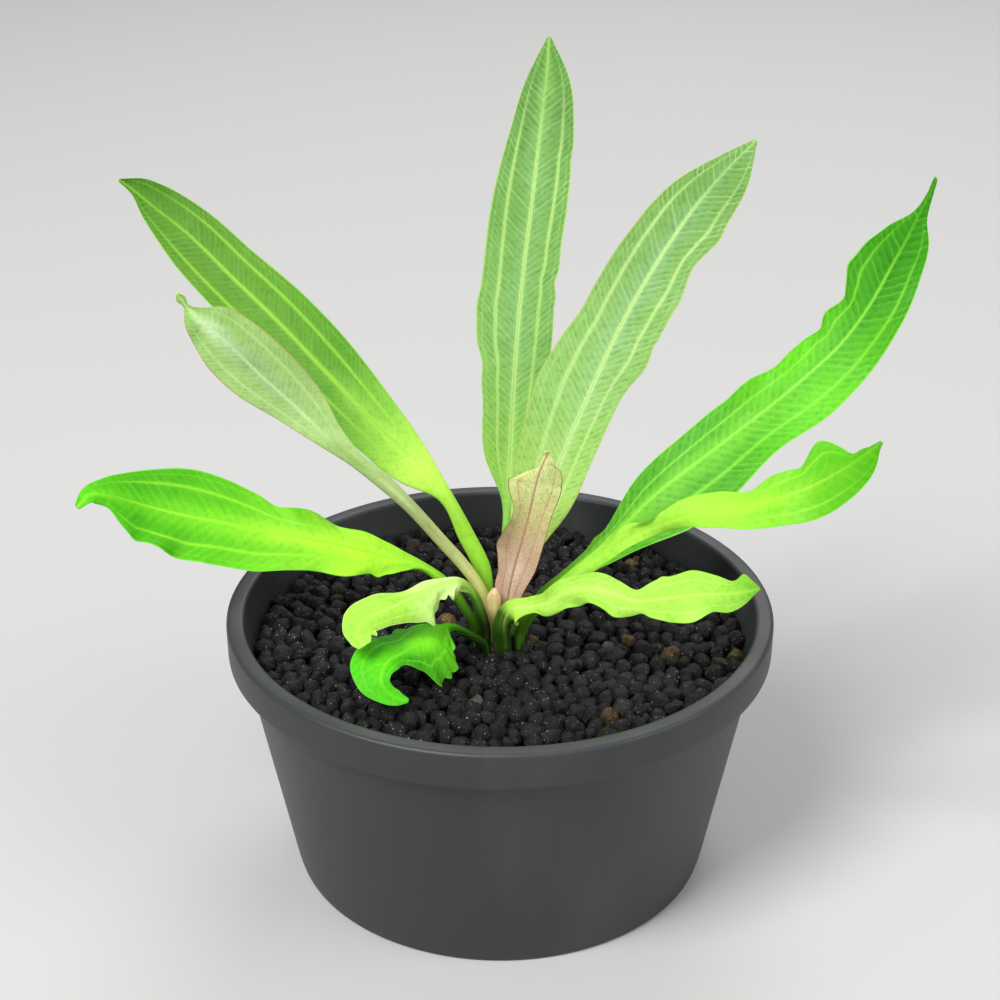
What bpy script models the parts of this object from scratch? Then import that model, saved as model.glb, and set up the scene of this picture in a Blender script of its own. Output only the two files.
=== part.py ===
"""Potted echinodorus: a young sword plant in dark granular soil, in a plain round pot.

Units are metres and +Z is up. The origin is the centre of the pot's flat base, +X is to the
right of the plant seen from its front, and +Y points away from the front.
"""
import math

import bpy
import numpy as np

MM = 0.001

# Pot, turned from thin plastic with a collar round its mouth (millimetres)
POT_HEIGHT = 50.0
POT_MOUTH_RADIUS = 49.0
POT_BASE_RADIUS = 38.0
POT_WALL = 1.6
COLLAR_HEIGHT = 7.0
COLLAR_STEP = 1.5
FOOT_CHAMFER = 1.0
POT_SIDES = 64
DRAIN_HOLES = 6
DRAIN_RADIUS = 3.5
DRAIN_RING = 24.0
DRAIN_SIDES = 12

# Soil, whose highest grains reach the level that all leaf heights are measured from
SOIL_LEVEL = 45.0
SOIL_HOLLOWS = 2.2
SOIL_HEAPS_APART = 8.0
SOIL_SIDES = 60
SOIL_RINGS = 10
POCKET_MOUTH = 8.6
POCKET_RADIUS = 6.6
POCKET_DEPTH = 9.0

# Crown, the short rootstock that every leaf grows from
CROWN_RADIUS = 5.6
CROWN_TOP = -3.0
CROWN_FOOT = -8.6
CROWN_SIDES = 14

# Leaves: half thickness of a stalk and of a blade, and the half widths where one turns to the other
STALK_HALF = 0.85
BLADE_HALF = 0.3
STALK_ENDS_AT = 1.3
BLADE_STARTS_AT = 3.6
SECTION = (-1.0, -0.66, -0.3, 0.0, 0.3, 0.66, 1.0)

GAP = 0.3

# The upper side of a leaf looks to the front, or up and to the front
UPRIGHT = (0.0, -0.87, 0.5)
SPREADING = (0.0, -0.65, 0.76)
LYING = (0.0, -0.5, 0.86)

# One row for each place where a leaf bends, widens or turns, from its foot to its tip:
# midrib x, y and height over the soil, half widths on the left and right of the midrib,
# turn about the midrib, and how far each half is cupped, in millimetres and degrees
LEAVES = {
    "leaf_tall": dict(looks=UPRIGHT, steps=26, ripple=(3.0, 0.3), colour=(0.16, 0.38, 0.13), rows=(
        (0.2, 3.6, -2.6, 1.0, 1.0, 0, 0, 0),
        (0.4, 4.2, 2.0, 1.0, 1.0, 0, 0, 0),
        (1.0, 6.6, 13.2, 0.9, 0.9, 0, 0, 0),
        (1.4, 9.4, 21.0, 1.1, 1.6, 0, 10, 10),
        (1.8, 12.0, 29.0, 4.7, 4.5, 0, 15, 15),
        (2.3, 15.0, 39.0, 5.5, 5.8, 0, 14, 14),
        (3.0, 17.5, 49.2, 7.3, 6.3, 0, 12, 12),
        (4.0, 20.0, 60.0, 7.2, 6.0, 0, 12, 12),
        (5.6, 23.0, 73.0, 7.0, 6.3, 0, 12, 12),
        (7.0, 26.0, 85.0, 5.2, 6.0, 0, 12, 12),
        (8.0, 28.0, 93.5, 3.4, 4.2, 0, 12, 12),
        (8.5, 30.0, 100.3, 0.3, 0.3, 0, 10, 10))),
    "leaf_broad": dict(looks=UPRIGHT, steps=26, ripple=(3.0, 0.3), colour=(0.18, 0.38, 0.16), rows=(
        (2.5, 2.5, -2.6, 1.0, 1.0, 0, 0, 0),
        (2.6, 2.6, 1.0, 1.0, 1.0, 0, 0, 0),
        (3.3, 2.8, 9.0, 1.4, 1.4, 0, 0, 0),
        (5.0, 4.5, 15.2, 3.4, 2.7, 0, 15, 15),
        (8.0, 7.0, 22.5, 6.4, 4.9, 0, 18, 18),
        (11.9, 9.0, 32.6, 8.5, 5.4, 0, 15, 15),
        (16.4, 11.0, 43.2, 9.3, 5.6, 0, 12, 12),
        (21.5, 13.0, 54.4, 7.7, 7.0, 0, 12, 12),
        (27.8, 15.0, 65.6, 7.1, 6.4, 0, 12, 12),
        (34.4, 17.0, 75.1, 5.5, 6.3, 0, 12, 12),
        (39.7, 18.0, 81.3, 2.4, 4.3, 0, 12, 12),
        (43.8, 19.0, 85.2, 0.3, 0.3, 0, 12, 12))),
    "leaf_young": dict(looks=UPRIGHT, steps=18, ripple=(2.0, 0.3), colour=(0.42, 0.27, 0.2), rows=(
        (0.9, -0.8, -2.6, 1.1, 1.1, 0, 0, 0),
        (0.9, -0.9, 0.0, 1.2, 1.2, 0, 10, 10),
        (1.1, -1.3, 3.0, 1.5, 1.6, 0, 25, 25),
        (1.6, -2.0, 8.7, 2.7, 2.6, 0, 35, 35),
        (2.9, -2.5, 15.4, 3.4, 4.0, 0, 30, 30),
        (4.1, -3.0, 20.3, 4.0, 4.0, 0, 30, 30),
        (5.3, -3.5, 26.0, 3.0, 4.1, 0, 25, 25),
        (6.0, -4.0, 30.0, 4.5, 4.5, 0, 25, 25),
        (6.5, -4.3, 32.4, 5.0, 4.1, 0, 25, 25),
        (7.0, -4.8, 34.6, 2.2, 3.1, 0, 20, 20),
        (8.2, -6.0, 38.0, 0.3, 0.3, 0, 0, 0))),
    "leaf_bud": dict(looks=UPRIGHT, steps=7, ripple=(0.0, 0.0), colour=(0.5, 0.28, 0.2), rows=(
        (-0.6, -2.9, -2.6, 0.6, 0.6, 0, 0, 0),
        (-0.7, -3.1, 0.0, 0.7, 0.7, 0, 0, 0),
        (-0.7, -3.6, 3.6, 0.9, 0.9, 0, 10, 10),
        (-1.0, -3.9, 7.0, 1.4, 1.2, 0, 20, 20),
        (-1.0, -3.9, 9.2, 1.2, 1.1, 0, 20, 20),
        (-0.9, -3.8, 10.4, 0.4, 0.4, 0, 0, 0))),
    "leaf_upper_left": dict(looks=UPRIGHT, steps=26, ripple=(3.0, 0.4), colour=(0.14, 0.45, 0.05), rows=(
        (-2.6, 2.8, -2.6, 1.0, 1.0, 0, 0, 0),
        (-2.6, 3.0, 2.0, 1.1, 1.1, 0, 0, 0),
        (-3.0, 4.0, 10.0, 1.6, 1.4, 0, 0, 0),
        (-6.0, 6.0, 15.6, 1.5, 1.6, 10, 0, 0),
        (-10.0, 8.0, 23.0, 1.5, 1.5, 20, 5, 5),
        (-14.8, 10.0, 28.1, 5.0, 3.1, 20, 12, 12),
        (-22.0, 12.0, 35.0, 6.3, 5.3, 20, 12, 12),
        (-30.7, 14.0, 44.1, 6.5, 7.0, 20, 12, 12),
        (-39.4, 16.0, 53.4, 7.4, 6.8, 20, 12, 12),
        (-47.5, 18.0, 61.2, 7.0, 6.2, 20, 12, 12),
        (-54.6, 19.0, 68.5, 5.8, 5.6, 20, 12, 12),
        (-60.7, 19.0, 73.9, 2.5, 4.1, 15, 12, 12),
        (-63.0, 18.7, 76.2, 0.8, 2.8, 10, 12, 12),
        (-65.4, 18.0, 78.5, 0.3, 0.3, 0, 0, 0))),
    "leaf_pale": dict(looks=UPRIGHT, steps=27, ripple=(4.0, 0.3), colour=(0.3, 0.42, 0.2), rows=(
        (-1.3, 0.5, -2.6, 1.0, 1.0, 0, 0, 0),
        (-1.5, 0.4, 1.0, 1.0, 1.0, 0, 0, 0),
        (-3.3, -0.3, 8.0, 1.0, 1.0, 0, 0, 0),
        (-6.6, 0.0, 13.2, 1.1, 1.1, 0, 0, 0),
        (-9.8, 0.0, 17.4, 1.2, 1.0, 0, 0, 0),
        (-16.9, 0.0, 26.0, 1.2, 1.2, 0, 0, 0),
        (-20.5, 0.0, 29.6, 1.3, 1.5, 0, 0, 0),
        (-24.9, -0.5, 33.8, 1.3, 1.6, -20, 5, 5),
        (-28.9, -1.0, 38.1, 2.2, 2.6, -20, 10, 10),
        (-34.5, -2.0, 44.5, 3.8, 5.4, -20, 12, 12),
        (-40.7, -4.0, 52.0, 5.4, 6.7, -20, 12, 12),
        (-45.9, -6.0, 58.9, 5.0, 5.6, -20, 12, 12),
        (-48.3, -6.5, 61.5, 3.8, 4.6, -20, 12, 12),
        (-50.1, -7.0, 63.5, 2.4, 1.8, -10, 12, 12),
        (-51.6, -7.4, 65.5, 1.1, 0.8, -10, 12, 12),
        (-52.6, -8.0, 67.5, 0.5, 0.5, 0, 12, 12))),
    "leaf_low_left": dict(looks=SPREADING, steps=30, ripple=(4.0, 0.5), colour=(0.16, 0.62, 0.03), rows=(
        (-4.3, -0.2, -2.6, 0.9, 0.9, 0, 0, 0),
        (-4.5, -0.2, 0.4, 0.9, 0.9, 0, 0, 0),
        (-6.2, -0.3, 4.2, 0.9, 0.9, 0, 0, 0),
        (-9.9, -0.5, 9.8, 1.0, 1.0, 0, 0, 0),
        (-14.8, 0.0, 13.0, 0.9, 1.2, 0, 0, 0),
        (-18.1, 0.0, 13.9, 2.7, 2.1, 0, 5, 5),
        (-21.3, 0.0, 15.0, 3.4, 2.9, 0, 5, 5),
        (-26.2, 0.0, 16.5, 5.9, 3.6, 0, 8, 8),
        (-31.1, 0.0, 17.6, 5.5, 4.5, 0, 10, 10),
        (-36.0, 0.0, 18.7, 6.6, 4.6, 0, 10, 10),
        (-41.7, 0.0, 19.8, 8.1, 6.1, 0, 10, 10),
        (-48.8, -1.0, 22.0, 8.2, 8.1, 0, 10, 10),
        (-55.0, -2.0, 23.9, 8.2, 8.5, 0, 10, 10),
        (-61.0, -4.0, 26.7, 7.3, 7.0, 0, 10, 10),
        (-64.5, -6.0, 29.0, 5.8, 5.2, 0, 10, 10),
        (-67.2, -8.0, 30.9, 2.2, 3.4, 0, 5, 5),
        (-69.9, -10.0, 31.9, 1.6, 1.5, 0, 0, 0),
        (-71.5, -12.0, 30.6, 0.5, 0.4, 0, 0, 0))),
    "leaf_right": dict(looks=UPRIGHT, steps=28, ripple=(4.0, 0.6), colour=(0.09, 0.45, 0.03), rows=(
        (4.0, 0.5, -2.6, 1.0, 1.0, 0, 0, 0),
        (4.2, 0.5, 0.4, 1.1, 1.1, 0, 0, 0),
        (7.5, 1.0, 5.7, 1.3, 1.3, 0, 0, 0),
        (13.3, 2.0, 10.8, 1.4, 1.8, -10, 5, 5),
        (19.7, 3.0, 16.8, 2.0, 4.6, -20, 12, 12),
        (28.3, 5.0, 25.2, 4.7, 9.3, -20, 12, 12),
        (36.3, 7.0, 31.1, 5.9, 9.5, -20, 12, 12),
        (45.0, 9.0, 37.6, 6.0, 7.9, -20, 12, 12),
        (53.7, 11.0, 44.6, 5.4, 8.5, -20, 12, 12),
        (60.2, 13.0, 50.5, 5.2, 7.7, -20, 12, 12),
        (64.3, 14.0, 56.4, 5.3, 7.3, -20, 12, 12),
        (68.3, 15.0, 64.4, 6.2, 5.6, -20, 12, 12),
        (70.5, 15.0, 69.5, 4.3, 4.0, -15, 12, 12),
        (71.8, 15.0, 72.9, 1.3, 1.8, -10, 12, 12),
        (73.1, 14.4, 76.6, 0.5, 0.8, -10, 12, 12),
        (73.8, 13.0, 80.4, 0.3, 0.3, 0, 0, 0))),
    "leaf_low_right": dict(looks=SPREADING, steps=28, ripple=(3.0, 0.5), colour=(0.18, 0.68, 0.05), rows=(
        (3.4, -2.3, -2.6, 1.0, 1.0, 0, 0, 0),
        (3.6, -2.5, 0.4, 1.0, 1.0, 0, 0, 0),
        (7.4, -4.0, 7.7, 1.1, 1.2, 0, 0, 0),
        (13.0, -6.0, 13.8, 1.5, 1.3, 0, 0, 0),
        (17.7, -7.0, 18.6, 1.7, 1.7, 0, 0, 0),
        (22.3, -9.0, 23.4, 2.3, 1.6, 20, 0, 0),
        (28.3, -11.0, 27.4, 1.9, 1.9, 50, 0, 0),
        (32.0, -13.0, 29.9, 2.9, 2.3, 20, 0, 0),
        (36.4, -15.0, 31.6, 3.6, 3.4, 0, 0, 0),
        (41.5, -17.5, 33.5, 2.8, 4.3, 0, 0, 0),
        (45.7, -19.5, 35.9, 4.0, 4.9, 0, 0, 0),
        (50.3, -21.0, 38.6, 4.6, 5.5, 0, 0, 0),
        (54.2, -23.0, 42.1, 5.6, 5.2, 0, 0, 0),
        (56.8, -24.5, 44.8, 2.6, 4.5, 0, 0, 0),
        (58.8, -26.0, 47.5, 0.9, 3.2, 0, 0, 0),
        (60.4, -27.0, 49.6, 0.3, 0.6, 0, 0, 0))),
    "leaf_front_right": dict(looks=SPREADING, steps=28, ripple=(4.0, 0.4), colour=(0.36, 0.72, 0.12), rows=(
        (1.2, -4.4, -2.6, 1.0, 1.0, 0, 0, 0),
        (0.9, -4.6, 0.4, 1.1, 1.1, 0, 0, 0),
        (1.0, -5.6, 4.8, 1.3, 1.3, 0, 0, 0),
        (2.5, -7.0, 8.2, 1.6, 3.2, 0, 0, 0),
        (4.9, -8.0, 9.0, 2.0, 1.6, 0, 0, 0),
        (8.0, -9.5, 10.6, 1.9, 2.4, 0, 0, 0),
        (11.5, -11.0, 13.7, 2.6, 2.9, 0, 0, 0),
        (15.4, -13.0, 15.5, 3.2, 2.9, 0, 0, 0),
        (19.3, -15.0, 15.5, 2.6, 3.3, 0, 0, 0),
        (23.1, -17.0, 15.2, 2.2, 2.6, 0, 0, 0),
        (26.2, -18.5, 16.2, 3.7, 3.3, 0, 0, 0),
        (29.5, -20.0, 17.6, 4.2, 4.6, 0, 0, 0),
        (32.7, -22.0, 19.1, 4.3, 4.9, 0, 0, 0),
        (35.6, -23.5, 20.2, 3.3, 3.1, 0, 0, 0),
        (38.2, -25.0, 21.1, 2.4, 3.2, 0, 0, 0),
        (40.5, -26.0, 22.0, 2.7, 2.2, 0, 0, 0),
        (42.6, -27.0, 23.1, 0.4, 0.4, 0, 0, 0))),
    "leaf_curled_upper": dict(looks=SPREADING, steps=22, ripple=(0.0, 0.0), colour=(0.48, 0.8, 0.18), rows=(
        (-2.5, -1.8, -2.6, 0.8, 0.8, 0, 0, 0),
        (-2.5, -2.2, 0.4, 0.9, 0.9, 0, 0, 0),
        (-3.2, -4.3, 5.0, 1.0, 1.0, 0, 0, 0),
        (-5.7, -6.6, 12.0, 1.0, 1.0, 0, 0, 0),
        (-7.6, -8.5, 14.5, 2.2, 0.8, 0, -20, 0),
        (-9.9, -10.0, 14.8, 2.9, 1.1, 0, -50, 0),
        (-12.4, -12.0, 14.8, 4.1, 1.6, 0, -50, 0),
        (-15.1, -14.0, 14.3, 4.8, 1.8, 0, -40, 0),
        (-17.7, -16.0, 13.9, 3.5, 2.6, 0, -30, 0),
        (-20.7, -18.5, 13.7, 2.8, 3.6, 0, -20, -10),
        (-23.4, -21.0, 13.2, 2.8, 3.5, 0, -10, -10),
        (-24.2, -23.0, 12.0, 2.8, 2.1, 0, 0, 0),
        (-23.2, -24.5, 10.8, 0.6, 0.6, 0, 0, 0))),
    "leaf_curled_lower": dict(looks=LYING, steps=26, ripple=(0.0, 0.0), colour=(0.09, 0.66, 0.02), rows=(
        (-2.2, -4.3, -2.6, 0.8, 0.8, 0, 0, 0),
        (-2.8, -4.6, -0.6, 0.8, 0.8, 0, 0, 0),
        (-5.4, -5.6, 2.0, 0.8, 0.8, 0, 0, 0),
        (-8.2, -7.0, 4.2, 0.8, 0.8, 0, 0, 0),
        (-10.2, -9.5, 5.9, 1.6, 0.8, 0, -20, 0),
        (-11.7, -12.0, 6.4, 5.5, 3.8, 0, -40, -20),
        (-13.2, -14.8, 6.5, 8.4, 5.1, 0, -50, -20),
        (-15.0, -17.5, 6.5, 6.8, 5.1, 0, -50, -20),
        (-17.3, -20.5, 6.8, 3.6, 5.4, 0, -40, -10),
        (-19.7, -23.0, 6.7, 3.2, 5.2, 0, -30, 0),
        (-21.3, -25.0, 5.9, 2.4, 4.3, 0, 0, 0),
        (-21.7, -26.5, 4.7, 1.9, 2.4, 0, 0, 0),
        (-20.6, -27.5, 3.4, 1.8, 1.4, 0, 0, 0),
        (-18.6, -28.0, 2.6, 1.6, 1.1, 0, 0, 0),
        (-16.1, -28.0, 2.2, 0.4, 0.4, 0, 0, 0))),
}


def clear_scene():
    """Remove every object of the open file."""
    for thing in list(bpy.data.objects):
        bpy.data.objects.remove(thing, do_unlink=True)


def finish(name, colour, roughness):
    """A plain material in one colour."""
    material = bpy.data.materials.new(name)
    material.use_nodes = True
    surface = material.node_tree.nodes["Principled BSDF"]
    surface.inputs["Base Color"].default_value = (*colour, 1.0)
    surface.inputs["Roughness"].default_value = roughness
    surface.inputs["Metallic"].default_value = 0.0
    return material


def place(name, points, faces, material, sharp_angle=40.0):
    """Add one named mesh object, whose points are given in millimetres."""
    mesh = bpy.data.meshes.new(name)
    mesh.from_pydata([tuple(MM * c for c in point) for point in points], [], faces)
    mesh.materials.append(material)
    mesh.shade_smooth()
    mesh.set_sharp_from_angle(angle=math.radians(sharp_angle))
    thing = bpy.data.objects.new(name, mesh)
    bpy.context.scene.collection.objects.link(thing)
    return thing


def stitch(rows, sides):
    """Four-sided faces between closed rows of points that have the same number of sides."""
    faces = []
    for row in range(rows - 1):
        for side in range(sides):
            after = (side + 1) % sides
            faces.append((row * sides + side, row * sides + after,
                          (row + 1) * sides + after, (row + 1) * sides + side))
    return faces


def ring(radius, height, sides):
    """A level circle of points round the pot's axis."""
    turns = (2 * math.pi * k / sides for k in range(sides))
    return [(radius * math.cos(turn), radius * math.sin(turn), height) for turn in turns]


def turned(name, profile, sides, material):
    """Turn a profile that starts and ends on a flat disc, going up the outside and down the inside."""
    points = [point for radius, height in profile for point in ring(radius, height, sides)]
    faces = stitch(len(profile), sides)
    faces.append(tuple(reversed(range(sides))))
    last = (len(profile) - 1) * sides
    faces.append(tuple(range(last, last + sides)))
    return place(name, points, faces, material)


def wall_radius(height):
    """Outer radius of the pot's tapered wall at a height."""
    taper = (POT_MOUTH_RADIUS - COLLAR_STEP - POT_BASE_RADIUS) / POT_HEIGHT
    return POT_BASE_RADIUS + taper * height


def pot():
    """Thin tapered wall with a collar at the mouth, and drain holes in a ring round the base."""
    collar_foot = POT_HEIGHT - COLLAR_HEIGHT
    bead = 0.5
    profile = [
        (POT_BASE_RADIUS - FOOT_CHAMFER, 0.0),
        (wall_radius(FOOT_CHAMFER), FOOT_CHAMFER),
        (wall_radius(collar_foot), collar_foot),
        (POT_MOUTH_RADIUS - bead, collar_foot + bead),
        (POT_MOUTH_RADIUS, POT_HEIGHT - bead),
        (POT_MOUTH_RADIUS - bead, POT_HEIGHT),
        (wall_radius(POT_HEIGHT) - POT_WALL, POT_HEIGHT - bead),
        (wall_radius(POT_WALL) - POT_WALL, POT_WALL),
    ]
    body = turned("pot", profile, POT_SIDES, finish("pot_plastic", (0.035, 0.036, 0.038), 0.5))
    for k in range(DRAIN_HOLES):
        turn = 2 * math.pi * (k + 0.5) / DRAIN_HOLES
        bpy.ops.mesh.primitive_cylinder_add(
            vertices=DRAIN_SIDES, radius=DRAIN_RADIUS * MM, depth=4 * POT_WALL * MM,
            location=(DRAIN_RING * MM * math.cos(turn), DRAIN_RING * MM * math.sin(turn), 0.0))
        cutter = bpy.context.object
        cutter.name = f"drain_cutter_{k + 1}"
        cutter.hide_render = True
        cutter.display_type = "WIRE"
        cut = body.modifiers.new(f"drain_{k + 1}", "BOOLEAN")
        cut.operation = "DIFFERENCE"
        cut.object = cutter
    return body


def soil():
    """Bed of grains: it follows the pot's inner wall, and has a pocket for the crown."""
    floor = POT_WALL + GAP
    clearance = POT_WALL + GAP
    rim = SOIL_LEVEL - SOIL_HOLLOWS
    points = ring(wall_radius(floor) - clearance, floor, SOIL_SIDES)
    points += ring(wall_radius(rim) - clearance, rim, SOIL_SIDES)
    outer = wall_radius(rim) - clearance
    wave = 2 * math.pi / SOIL_HEAPS_APART
    for k in range(1, SOIL_RINGS):
        radius = outer + (POCKET_MOUTH - outer) * k / (SOIL_RINGS - 1)
        for x, y, _ in ring(radius, 0.0, SOIL_SIDES):
            heap = math.cos(wave * x) * math.cos(wave * y)
            points.append((x, y, SOIL_LEVEL - SOIL_HOLLOWS * (0.5 - 0.5 * heap)))
    points += ring(POCKET_RADIUS, SOIL_LEVEL - 0.4 * POCKET_DEPTH, SOIL_SIDES)
    points += ring(POCKET_RADIUS, SOIL_LEVEL - POCKET_DEPTH, SOIL_SIDES)
    rows = SOIL_RINGS + 3
    faces = stitch(rows, SOIL_SIDES)
    faces.append(tuple(reversed(range(SOIL_SIDES))))
    faces.append(tuple(range((rows - 1) * SOIL_SIDES, rows * SOIL_SIDES)))
    return place("soil", points, faces, finish("dark_soil", (0.02, 0.019, 0.018), 0.6))


def crown():
    """Knob of rootstock that stands in the soil's pocket, under the feet of the leaves."""
    shoulder = 0.8
    profile = [
        (0.5 * CROWN_RADIUS, CROWN_FOOT), (0.85 * CROWN_RADIUS, CROWN_FOOT + 2 * shoulder),
        (CROWN_RADIUS, CROWN_TOP - 2 * shoulder), (CROWN_RADIUS - shoulder, CROWN_TOP)]
    lifted = [(radius, SOIL_LEVEL + height) for radius, height in profile]
    return turned("crown", lifted, CROWN_SIDES, finish("crown_skin", (0.11, 0.09, 0.04), 0.7))


def through(knots, values, places):
    """Smooth curve through values that are given at knots, read at places along it."""
    slopes = np.gradient(values, knots, axis=0)
    before = np.clip(np.searchsorted(knots, places, side="right") - 1, 0, len(knots) - 2)
    span = (knots[before + 1] - knots[before])[:, None]
    part = (places - knots[before])[:, None] / span
    ease = part * part * (3 - 2 * part)
    bulge = slopes[before] * (1 - part) - slopes[before + 1] * part
    return values[before] * (1 - ease) + values[before + 1] * ease + span * part * (1 - part) * bulge


def unit(vectors):
    """The same directions with length one."""
    return vectors / np.linalg.norm(vectors, axis=-1, keepdims=True)


def leaf(name, looks, steps, ripple, colour, rows):
    """Stalk and blade of one leaf, as one closed skin over a row of flat oval sections."""
    rows = np.array(rows, float)
    runs = np.linalg.norm(np.diff(rows[:, :3], axis=0), axis=1)
    knots = np.concatenate(([0.0], np.cumsum(runs)))
    along = np.linspace(0.0, knots[-1], steps)
    read = through(knots, rows, along)
    midrib = read[:, :3]
    left, right, turn, cup_left, cup_right = read[:, 3:].T
    ahead = unit(np.gradient(midrib, along, axis=0))
    up = np.array(looks) - (ahead @ np.array(looks))[:, None] * ahead
    up = unit(up)
    turn = np.radians(turn)[:, None]
    up = up * np.cos(turn) + np.cross(ahead, up) * np.sin(turn)
    side = np.cross(ahead, up)
    width = 0.5 * (left + right)
    stalk = np.clip((BLADE_STARTS_AT - width) / (BLADE_STARTS_AT - STALK_ENDS_AT), 0.0, 1.0)
    half = np.minimum(BLADE_HALF + (STALK_HALF - BLADE_HALF) * stalk, 0.9 * width)
    waves, height = ripple

    def across(u, face):
        """Points at u across the leaf, on the upper face for 1 or the lower face for -1."""
        reach = (left if u < 0 else right) * abs(u)
        bend = np.radians(cup_left if u < 0 else cup_right) * abs(u)
        sideways = math.copysign(1.0, u) * reach * np.sinc(bend / np.pi)
        lift = reach * np.sinc(bend / 2 / np.pi) * np.sin(bend / 2)
        shift = 0.0 if u < 0 else 0.25
        wave = np.sin(2 * np.pi * (waves * along / knots[-1] + shift))
        lift = lift + height * wave * u * u * (1 - stalk)
        skin = face * half * math.sqrt(1 - u * u)
        return midrib + side * sideways[:, None] + up * (lift + skin)[:, None]

    layers = [across(u, 1) for u in SECTION] + [across(u, -1) for u in reversed(SECTION[1:-1])]
    sides = len(layers)
    points = np.stack(layers, axis=1).reshape(-1, 3) + (0.0, 0.0, SOIL_LEVEL)
    faces = stitch(steps, sides)
    faces.append(tuple(reversed(range(sides))))
    last = (steps - 1) * sides
    faces.append(tuple(range(last, last + sides)))
    return place(name, points.tolist(), faces, finish(f"{name}_green", colour, 0.45))


def main():
    clear_scene()
    pot()
    soil()
    crown()
    for name, shape in LEAVES.items():
        leaf(name, **shape)


main()
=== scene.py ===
"""Potted echinodorus: how the plant, its soil and its pot look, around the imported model.

Everything is in metres with +Z up. The origin is the centre of the pot's flat base, and the front
of the plant looks to -Y. Sizes written in millimetres are multiplied by MM where a mesh is made.
"""
import math

import bpy
import numpy as np
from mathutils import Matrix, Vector


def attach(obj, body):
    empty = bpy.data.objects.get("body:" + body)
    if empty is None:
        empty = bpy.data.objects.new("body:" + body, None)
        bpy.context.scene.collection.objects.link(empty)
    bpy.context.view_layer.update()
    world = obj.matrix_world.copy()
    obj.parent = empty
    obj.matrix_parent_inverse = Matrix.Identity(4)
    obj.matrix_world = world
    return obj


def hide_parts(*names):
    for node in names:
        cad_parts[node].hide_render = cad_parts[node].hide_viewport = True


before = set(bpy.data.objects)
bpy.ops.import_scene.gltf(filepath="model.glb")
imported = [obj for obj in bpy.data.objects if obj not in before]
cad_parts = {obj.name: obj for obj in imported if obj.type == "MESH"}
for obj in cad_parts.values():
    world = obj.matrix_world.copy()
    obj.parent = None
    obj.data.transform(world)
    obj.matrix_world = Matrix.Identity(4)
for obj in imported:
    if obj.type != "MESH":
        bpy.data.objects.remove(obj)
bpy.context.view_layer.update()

# Pot: a plain round tapered pot of charcoal plastic, moulded in one piece with a stepped collar at
# its mouth, a foot ring under its base and six drain holes. It stands loose on its foot ring.
MM = 0.001
POT_HEIGHT = 50.0
MOUTH_RADIUS = 49.0
BASE_RADIUS = 38.0
WALL = 1.6
COLLAR_FOOT = 43.0
COLLAR_STEP = 1.5
POT_SIDES = 144
DRAIN_HOLES = 6
DRAIN_RADIUS = 3.5
DRAIN_RING = 24.0


def wall_radius(height):
    """Outer radius of the pot's tapered wall at a height."""
    return BASE_RADIUS + (MOUTH_RADIUS - COLLAR_STEP - BASE_RADIUS) * height / POT_HEIGHT


def rounded(corners):
    """Profile of (radius, height) points whose corners, given with a rounding, become short arcs."""
    path = []
    for place, (radius, height, rounding) in enumerate(corners):
        corner = np.array((radius, height))
        if rounding == 0:
            path.append(corner)
            continue
        before = np.array(corners[place - 1][:2]) - corner
        after = np.array(corners[place + 1][:2]) - corner
        start = corner + before * rounding / np.linalg.norm(before)
        end = corner + after * rounding / np.linalg.norm(after)
        for t in (0.0, 0.25, 0.5, 0.75, 1.0):
            path.append(start * (1 - t) ** 2 + corner * 2 * t * (1 - t) + end * t * t)
    return path


def stitch(rows, sides):
    """Four-sided faces between closed rows of points that have the same number of sides."""
    faces = []
    for row in range(rows - 1):
        for side in range(sides):
            after = (side + 1) % sides
            faces.append((row * sides + side, row * sides + after,
                          (row + 1) * sides + after, (row + 1) * sides + side))
    return faces


def add_mesh(name, points, faces, sharp_angle):
    """A mesh object from points in millimetres, shaded smooth but for edges over the sharp angle."""
    mesh = bpy.data.meshes.new(name)
    mesh.from_pydata((np.array(points) * MM).tolist(), [], faces)
    mesh.shade_smooth()
    mesh.set_sharp_from_angle(angle=math.radians(sharp_angle))
    thing = bpy.data.objects.new(name, mesh)
    bpy.context.scene.collection.objects.link(thing)
    return thing


def turned(name, profile, sides):
    """Turn a profile that starts and ends on a flat disc, up the outside and down the inside."""
    turns = 2 * np.pi * np.arange(sides) / sides
    points = [(radius * math.cos(turn), radius * math.sin(turn), height)
              for radius, height in profile for turn in turns]
    faces = stitch(len(profile), sides)
    faces.append(tuple(reversed(range(sides))))
    faces.append(tuple(range((len(profile) - 1) * sides, len(profile) * sides)))
    return add_mesh(name, points, faces, sharp_angle=50.0)


def applied(thing):
    """Turn an object with modifiers into the plain mesh that they make."""
    bpy.context.view_layer.update()
    made = bpy.data.meshes.new_from_object(thing.evaluated_get(bpy.context.evaluated_depsgraph_get()))
    thing.modifiers.clear()
    thing.data = made
    return thing


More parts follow.
